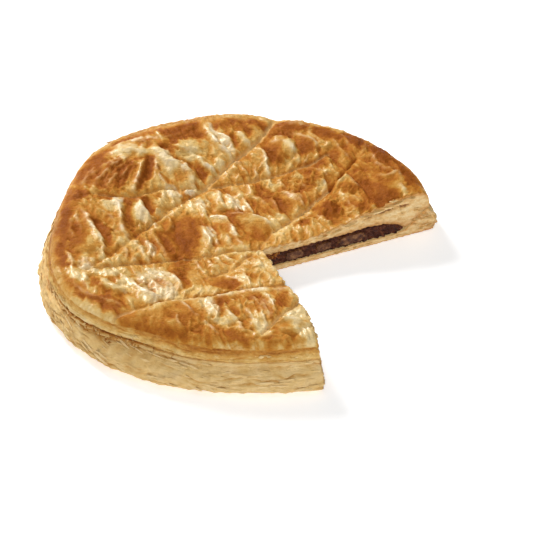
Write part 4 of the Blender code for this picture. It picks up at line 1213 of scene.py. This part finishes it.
def oval_sheets(generator, middle, along, up, out, long, tall, curl):
    """Thin sheets with rounded edges, as points and faces: ovals of half length long and half height tall
    at each middle, their outline ragged, their lower part curled towards out. All sizes are in metres.
    Along is turned round where along, out and up would make a left-handed frame, so that the faces look
    outward."""
    ball, faces = ball_grid(14, 5)
    count = len(middle)
    along = along * np.sign(np.sum(np.cross(along, out) * up, 1))[:, None]
    ragged = 1 + 0.25 * np.sin(ball[None, :, 0] * 9 + generator.uniform(0, 6, (count, 1)))
    lean = generator.uniform(-0.25, 0.25, (count, 1))
    run = ball[None, :, 0] * long[:, None]
    rise = ball[None, :, 2] * tall[:, None] * ragged + lean * run
    lift = ball[None, :, 1] * 0.16 * MM + curl[:, None] * ((ball[None, :, 2] - 1) / 2) ** 2
    points = middle[:, None] + sum(
        direction[:, None] * size[..., None] for direction, size in ((along, run), (up, rise), (out, lift)))
    points[..., 2] = np.maximum(points[..., 2], 0.3 * MM)
    return points.reshape(-1, 3), repeated(faces, count, len(ball)), len(ball)


def make_side_flakes(material):
    """Flakes that peel off the side of the base and the lid, curled outwards at their lower edge."""
    generator = np.random.default_rng(SIDE_FLAKE_SEED)
    count = SIDE_FLAKES
    turn = FIRST_CUT + KEPT_ARC * generator.uniform(0.01, 0.99, count)
    on_base = generator.uniform(0, 1, count) < 0.75
    height = np.where(on_base, generator.uniform(4, 17.5, count), generator.uniform(19.8, 23, count)) * MM
    middle, away = side_place(turn, height)
    across = np.stack([-np.sin(turn), np.cos(turn), np.zeros_like(turn)], 1)
    up = np.tile((0.0, 0.0, 1.0), (count, 1))
    sizes = [generator.uniform(*span, count) * MM for span in SIDE_FLAKE_SIZES]
    points, faces, each = oval_sheets(generator, middle + 0.12 * MM * away, across, up, away, *sizes)
    values = {"brown": np.repeat(generator.uniform(0.0, 0.2, count), each)}
    make_mesh("side_flakes", points, [faces], values, [material])


def make_cut_flakes(material):
    """Torn leaves that stick out of the two cuts, most of them near the rim: those at the rim at any
    height, and the others just under the lid's top, but for a quarter of them in the base."""
    generator = np.random.default_rng(CUT_FLAKE_SEED)
    count = CUT_FLAKES
    cut = np.where(generator.uniform(0, 1, count) < 0.45, FIRST_CUT, LAST_CUT)
    heading, out = cut_frame(cut, np.where(cut == FIRST_CUT, -1.0, 1.0))
    reach = reach_from_corner(cut)
    along = reach * (0.985 - 0.9 * generator.uniform(0, 1, count) ** 2)
    flat = CUT_CORNER + along[:, None] * heading[:, :2]
    top = crust(flat[:, 0], flat[:, 1])[0]
    near_rim = along > 0.86 * reach
    any_height = generator.uniform(2, 22, count) * MM
    height = np.where(near_rim, any_height, top - generator.uniform(0.8, 3.2, count) * MM)
    in_base = ~near_rim & (generator.uniform(0, 1, count) < 0.25)
    height = np.where(in_base, generator.uniform(1, 3, count) * MM, height)
    along = np.minimum(along, reach * np.where(height < SEAM_HEIGHT, base_share(height) - 0.03, 0.88))
    flat = CUT_CORNER + along[:, None] * heading[:, :2]
    middle = np.concatenate([flat, height[:, None]], 1) + out * 0.2 * MM
    up = np.tile((0.0, 0.0, 1.0), (count, 1))
    sizes = [generator.uniform(*span, count) * MM for span in CUT_FLAKE_SIZES]
    points, faces, each = oval_sheets(generator, middle, heading, out, up, *sizes)
    values = {"brown": np.repeat(generator.uniform(0.0, 0.3, count), each)}
    make_mesh("cut_flakes", points, [faces], values, [material])


def add_node(tree, kind, links=(), **settings):
    """A node of that kind with its settings made, and each named input set to a value or joined to an
    output."""
    made = tree.nodes.new(kind)
    for key, value in settings.items():
        setattr(made, key, value)
    for key, value in dict(links).items():
        if isinstance(value, bpy.types.NodeSocket):
            tree.links.new(value, made.inputs[key])
        else:
            made.inputs[key].default_value = value
    return made


def calculate(tree, operation, *values, clamp=False):
    """The output of a Math node on the values, which are numbers or outputs."""
    made = add_node(tree, "ShaderNodeMath", dict(enumerate(values)), operation=operation, use_clamp=clamp)
    return made.outputs[0]


def noise(tree, where, scale, detail=4.0, roughness=0.55):
    """The value of a noise pattern with features of about 1 / scale metres."""
    links = {"Vector": where, "Scale": scale, "Detail": detail, "Roughness": roughness}
    return add_node(tree, "ShaderNodeTexNoise", links).outputs["Fac"]


def stretched(tree, value, gain, start):
    """The value times the gain plus the start, kept between 0 and 1."""
    return calculate(tree, "MULTIPLY_ADD", value, gain, start, clamp=True)


def product(tree, first, second):
    """The first value times the second."""
    return calculate(tree, "MULTIPLY", first, second)


def mapped(tree, where, scale, turn=0.0):
    """The place with each axis multiplied by its scale and turned about the vertical."""
    links = {"Vector": where, "Rotation": (0, 0, turn), "Scale": scale}
    return add_node(tree, "ShaderNodeMapping", links).outputs[0]


def blend_colours(tree, amount, first, second, blend="MIX"):
    """The second colour over the first by the amount, each a colour or an output."""
    links = {0: amount, 6: first, 7: second}
    return add_node(tree, "ShaderNodeMix", links, data_type="RGBA", blend_type=blend).outputs[2]


def ramp(tree, amount, stops):
    """A colour ramp through stops of (place, colour)."""
    made = add_node(tree, "ShaderNodeValToRGB", {"Fac": amount})
    elements = made.color_ramp.elements
    while len(elements) < len(stops):
        elements.new(0.5)
    for element, (place_on_ramp, colour) in zip(elements, stops):
        element.position = place_on_ramp
        element.color = (*colour, 1)
    return made.outputs["Color"]


def new_group(name, inputs, outputs):
    """An empty node group with named inputs of (name, kind, value) and outputs of (name, kind), and its two
    ends."""
    tree = bpy.data.node_groups.new(name, "ShaderNodeTree")
    for label, kind, value in inputs:
        socket = tree.interface.new_socket(label, in_out="INPUT", socket_type=kind)
        socket.default_value = value
    for label, kind in outputs:
        tree.interface.new_socket(label, in_out="OUTPUT", socket_type=kind)
    return tree, tree.nodes.new("NodeGroupInput"), tree.nodes.new("NodeGroupOutput")


# Colours of baked pastry from pale to dark, and the noise that makes it uneven as (scale, weight)
BAKED_COLOURS = (
    (0.00, (0.87, 0.65, 0.315)),
    (0.20, (0.77, 0.49, 0.155)),
    (0.38, (0.64, 0.31, 0.060)),
    (0.55, (0.51, 0.19, 0.025)),
    (0.75, (0.37, 0.110, 0.014)),
    (1.00, (0.22, 0.051, 0.006)),
)
BAKED_NOISE = ((45, 0.35), (130, 0.35), (300, 0.30), (1100, 0.14))

# The dry tan crust, the leaves of a cut, and what toasts a cut at its top and bottom edge
TAN_COLOURS = (
    (0.25, (0.37, 0.175, 0.045)),
    (0.42, (0.57, 0.33, 0.11)),
    (0.55, (0.72, 0.48, 0.18)),
    (0.72, (0.86, 0.66, 0.34)),
)
CUT_COLOURS = ((0.22, (0.32, 0.12, 0.03)), (0.40, (0.82, 0.49, 0.17)), (0.60, (0.96, 0.71, 0.36)))
TOASTED_EDGES = ((0.0, (0.80, 0.52, 0.22)), (0.25, (1, 1, 1)), (0.75, (1, 1, 1)), (1.0, (0.72, 0.50, 0.30)))

# The filling and the pear that it stains
CHOCOLATE_COLOURS = (
    (0.35, (0.025, 0.005, 0.002)),
    (0.52, (0.080, 0.018, 0.007)),
    (0.70, (0.23, 0.075, 0.028)),
)
PEAR_COLOURS = ((0.38, (0.05, 0.012, 0.005)), (0.50, (0.14, 0.048, 0.016)), (0.68, (0.32, 0.15, 0.055)))

# Unbaked dough on the side, dough in the scored lines, and the painted highlight on the lit crests
PALE_DOUGH = (1.0, 0.71, 0.33, 1)
SCORED_DOUGH = (0.80, 0.50, 0.19, 1)
CREST_PAINTED_HIGHLIGHT = (0.98, 0.86, 0.68, 1)


def baked_colour_group():
    """Colour of baked pastry: a ramp over how brown it is, which noise of four sizes makes uneven."""
    inputs = (
        ("Vector", "NodeSocketVector", (0, 0, 0)),
        ("Brown", "NodeSocketFloat", 0.4),
        ("Speckle", "NodeSocketFloat", 1.0),
    )
    outputs = (("Color", "NodeSocketColor"), ("Brown", "NodeSocketFloat"))
    tree, start, end = new_group("baked_colour", inputs, outputs)
    total = start.outputs["Brown"]
    for scale, weight in BAKED_NOISE:
        uneven = calculate(tree, "SUBTRACT", noise(tree, start.outputs["Vector"], scale), 0.5)
        uneven = product(tree, uneven, product(tree, start.outputs["Speckle"], weight))
        total = calculate(tree, "ADD", total, uneven)
    tree.links.new(ramp(tree, total, BAKED_COLOURS), end.inputs["Color"])
    tree.links.new(total, end.inputs["Brown"])
    return tree


def fine_grain_group():
    """Height of the fine grain of pastry: pinprick bubbles, flaky scratches that run level, and crinkles,
    which are ridges where noise is near its middle."""
    inputs = (
        ("Vector", "NodeSocketVector", (0, 0, 0)),
        ("Leaves", "NodeSocketFloat", 0.0),
        ("Crinkles", "NodeSocketFloat", 0.0),
    )
    tree, start, end = new_group("pastry_grain", inputs, (("Height", "NodeSocketFloat"),))
    where = start.outputs["Vector"]
    grain = calculate(tree, "MULTIPLY_ADD", noise(tree, where, 2200, 3), 0.5, noise(tree, where, 700, 5))
    level = mapped(tree, where, (1, 1, 7))
    scratches = product(tree, noise(tree, level, 260, 5, 0.65), start.outputs["Leaves"])
    drawn_out = mapped(tree, where, (0.5, 1, 1), -WRINKLE_TURN)
    away = calculate(tree, "ABSOLUTE", calculate(tree, "SUBTRACT", noise(tree, drawn_out, 330, 3), 0.5))
    crest = calculate(tree, "POWER", stretched(tree, away, -7.0, 1.0), 1.5)
    crinkles = product(tree, crest, start.outputs["Crinkles"])
    total = calculate(tree, "ADD", calculate(tree, "ADD", grain, scratches), crinkles)
    tree.links.new(total, end.inputs["Height"])
    return tree


def start_material(name):
    """A new material with its node tree, its Principled shader and its object coordinates."""
    material = bpy.data.materials.new(name)
    material.use_nodes = True
    tree = material.node_tree
    where = add_node(tree, "ShaderNodeTexCoord").outputs["Object"]
    return material, tree, tree.nodes["Principled BSDF"], where


def value_of(tree, name):
    """The value that the mesh holds on its points under that name."""
    return add_node(tree, "ShaderNodeAttribute", attribute_name=name).outputs["Fac"]


def baked(tree, colours, where, speckle=1.0):
    """The colour group's node, which takes how brown it is from the mesh."""
    inputs = {"Vector": where, "Brown": value_of(tree, "brown"), "Speckle": speckle}
    return add_node(tree, "ShaderNodeGroup", inputs, node_tree=colours)


def add_grain(tree, shader, grain, where, depth, **amounts):
    """Gives the shader the grain group's relief as bump of a depth in metres, with the amounts of its
    inputs."""
    relief = add_node(tree, "ShaderNodeGroup", {"Vector": where, **amounts}, node_tree=grain)
    bump = add_node(tree, "ShaderNodeBump", {"Height": relief.outputs["Height"], "Distance": depth})
    tree.links.new(bump.outputs["Normal"], shader.inputs["Normal"])


def crust_finish(colours, grain):
    """Egg-washed crust: golden to deep brown with gloss in patches, paler in the scored lines, with a painted
    highlight on the lit crests, and dry and tan on the side and outside the rim's band."""
    material, tree, shader, where = start_material("egg_washed_crust")
    # crest marks where a highlight is painted on the lit crests, and where they get gloss
    side, pale, crest, brown = (value_of(tree, name) for name in ("side", "pale", "crest", "brown"))
    crust_colour = baked(tree, colours, where)
    total_brown = crust_colour.outputs["Brown"]
    unburnt = product(tree, stretched(tree, total_brown, -1.8, 1.4), 0.6)
    colour = blend_colours(tree, product(tree, pale, 0.85), crust_colour.outputs["Color"], SCORED_DOUGH)
    tan = calculate(tree, "MULTIPLY_ADD", brown, -0.5, 0.15)
    tan = calculate(tree, "ADD", noise(tree, mapped(tree, where, (1, 1, 3)), 280, 5), tan)
    dryness_here = product(tree, value_of(tree, "dry"), 0.75)
    colour = blend_colours(tree, dryness_here, colour, ramp(tree, tan, TAN_COLOURS))
    # Painted highlight: a pale colour laid on the crests on the lit side of the folds and on the listed
    # whitish places
    painted_highlight = product(tree, crest, stretched(tree, noise(tree, where, 210, 4), 4.0, -1.3))
    colour = blend_colours(tree, product(tree, painted_highlight, unburnt), colour, CREST_PAINTED_HIGHLIGHT)
    tree.links.new(colour, shader.inputs["Base Color"])
    matt = calculate(tree, "MAXIMUM", side, pale)
    rough = calculate(tree, "MULTIPLY_ADD", matt, 0.3, 0.24)
    rough = calculate(tree, "MULTIPLY_ADD", noise(tree, where, 160, 4), 0.36, rough)
    tree.links.new(rough, shader.inputs["Roughness"])
    shader.inputs["Specular IOR Level"].default_value = 0.03
    shader.inputs["Coat Roughness"].default_value = 0.29
    pale_gloss = stretched(tree, total_brown, -4.0, 1.7)
    pale_gloss = product(tree, pale_gloss, stretched(tree, noise(tree, where, 55, 3), 3.0, -0.9))
    washed = calculate(tree, "MAXIMUM", pale_gloss, product(tree, crest, unburnt))
    coat = calculate(tree, "SUBTRACT", washed, matt, clamp=True)
    tree.links.new(product(tree, coat, 0.75), shader.inputs["Coat Weight"])
    add_grain(tree, shader, grain, where, 0.5 * MM, Leaves=side, Crinkles=0.6)
    return material


def side_finish(colours, grain):
    """Dry flaky side: pale gold leaves, darker in the crevices and along the seam, where shade is painted."""
    material, tree, shader, where = start_material("flaky_side")
    leaf = baked(tree, colours, where, speckle=0.5)
    unbaked = stretched(tree, leaf.outputs["Brown"], -1.6, 0.6)
    colour = blend_colours(tree, unbaked, leaf.outputs["Color"], PALE_DOUGH)
    tree.links.new(colour, shader.inputs["Base Color"])
    shader.inputs["Roughness"].default_value = 0.72
    add_grain(tree, shader, grain, where, 0.6 * MM, Leaves=1.6)
    return material


def cut_finish(grain):
    """Cut pastry: cream leaves with darker lines between them, toasted near the outside, and darker in the
    air gap under the lid's top leaves, which is painted shade.
    """
    material, tree, shader, where = start_material("cut_pastry")
    leaves = noise(tree, mapped(tree, where, (1, 1, 2.4)), 160, 6, 0.65)
    # Painted shade: the leaves are darker in the air gap
    leaves = calculate(tree, "MULTIPLY_ADD", value_of(tree, "gap"), -0.35, leaves)
    toasted = ramp(tree, value_of(tree, "depth"), TOASTED_EDGES)
    colour = blend_colours(tree, 1, ramp(tree, leaves, CUT_COLOURS), toasted, "MULTIPLY")
    tree.links.new(colour, shader.inputs["Base Color"])
    shader.inputs["Roughness"].default_value = 0.8
    add_grain(tree, shader, grain, where, 0.7 * MM, Leaves=1.0)
    return material


def moist_finish(name, colours, mottling, roughness, grain, depth):
    """A moist mottled filling with wet glints. mottling is the scale, detail and roughness of its colour's
    noise, and roughness the scale of the noise that dulls it, what that adds, and the least."""
    material, tree, shader, where = start_material(name)
    tree.links.new(ramp(tree, noise(tree, where, *mottling), colours), shader.inputs["Base Color"])
    scale, spread, least = roughness
    dull = calculate(tree, "MULTIPLY_ADD", noise(tree, where, scale), spread, least)
    tree.links.new(dull, shader.inputs["Roughness"])
    shader.inputs["Specular IOR Level"].default_value = 0.2
    add_grain(tree, shader, grain, where, depth)
    return material


def chocolate_finish(grain):
    """Moist dark chocolate: near black, with browner crumbs."""
    return moist_finish("chocolate", CHOCOLATE_COLOURS, (300, 6, 0.7), (500, 0.6, 0.1), grain, 0.8 * MM)


def pear_finish(grain):
    """Baked pear, stained brown by the chocolate."""
    return moist_finish("stained_pear", PEAR_COLOURS, (350, 6, 0.65), (600, 0.4, 0.2), grain, 0.5 * MM)


def add_light(name, place_of_light, size, power, glossy=True):
    """A square soft box that faces the galette, and that gloss mirrors or doesn't."""
    data = bpy.data.lights.new(name, "AREA")
    data.energy, data.size = power, size
    lamp = bpy.data.objects.new(name, data)
    lamp.location = place_of_light
    toward = -np.array(place_of_light)
    flat = math.hypot(toward[0], toward[1])
    lamp.rotation_euler = (math.atan2(flat, -toward[2]), 0, math.atan2(-toward[0], toward[1]))
    lamp.visible_glossy = glossy
    bpy.context.scene.collection.objects.link(lamp)


def add_camera():
    """The camera at the photograph's angle. Its shift puts the middle of the round on the named pixel."""
    data = bpy.data.cameras.new("camera")
    data.sensor_width = SENSOR_WIDTH
    data.lens = FOCAL_PIXELS / IMAGE_SIZE * data.sensor_width
    data.shift_x = (IMAGE_SIZE / 2 - MIDDLE_PIXEL[0]) / IMAGE_SIZE
    data.shift_y = (MIDDLE_PIXEL[1] - IMAGE_SIZE / 2) / IMAGE_SIZE
    camera = bpy.data.objects.new("camera", data)
    back, up = CAMERA_DISTANCE * math.cos(CAMERA_ELEVATION), CAMERA_DISTANCE * math.sin(CAMERA_ELEVATION)
    camera.location = (0, -back, up)
    camera.rotation_euler = (math.pi / 2 - CAMERA_ELEVATION, 0, 0)
    bpy.context.scene.collection.objects.link(camera)
    bpy.context.scene.camera = camera


FLOOR_HALF = 3.0
FLOOR_HEIGHT = -0.2 * MM


def add_floor():
    """A plain pale floor just under the galette, which glows a little so that it stays white."""
    corners = [(x, y, FLOOR_HEIGHT) for x, y in ((-1, -1), (1, -1), (1, 1), (-1, 1))]
    corners = [(x * FLOOR_HALF, y * FLOOR_HALF, z) for x, y, z in corners]
    data = bpy.data.meshes.new("floor")
    data.from_pydata(corners, [], [(0, 1, 2, 3)])
    material = bpy.data.materials.new("pale_floor")
    material.use_nodes = True
    shader = material.node_tree.nodes["Principled BSDF"]
    shader.inputs["Base Color"].default_value = (0.95, 0.95, 0.95, 1)
    shader.inputs["Roughness"].default_value = 0.9
    shader.inputs["Emission Color"].default_value = (1, 1, 1, 1)
    shader.inputs["Emission Strength"].default_value = 0.40
    data.materials.append(material)
    floor = bpy.data.objects.new("floor", data)
    bpy.context.scene.collection.objects.link(floor)


def light_scene():
    """A soft box behind and to the left rakes over the folds, a weak one fills from above and isn't
    mirrored, a big one fills from the front, and the sky is dim, so that dark reflections keep the crust's
    colours deep."""
    add_light("raking_box", (-0.66, 0.96, 0.84), 0.50, 23)
    add_light("top_box", (0.1, -0.2, 1.6), 1.0, 4, glossy=False)
    add_light("front_box", (0.2, -1.5, 0.9), 1.2, 13)
    world = bpy.data.worlds.new("sky")
    world.use_nodes = True
    background = world.node_tree.nodes["Background"]
    background.inputs["Color"].default_value = (1, 1, 1, 1)
    background.inputs["Strength"].default_value = 0.15
    bpy.context.scene.world = world
    bpy.context.scene.view_settings.view_transform = "Standard"


add_camera()
add_floor()
light_scene()
colours, grain = baked_colour_group(), fine_grain_group()
crust_material, side_material = crust_finish(colours, grain), side_finish(colours, grain)
cut_material = cut_finish(grain)
make_lid(crust_material, cut_material)
make_base(side_material, cut_material)
make_filling(chocolate_finish(grain))
make_crumbs(side_material)
make_side_flakes(side_material)
make_cut_flakes(side_material)
pear_material = pear_finish(grain)
for pear_number in range(1, 2 * PEARS_IN_A_CUT + 1):
    make_pear(pear_number, pear_material)
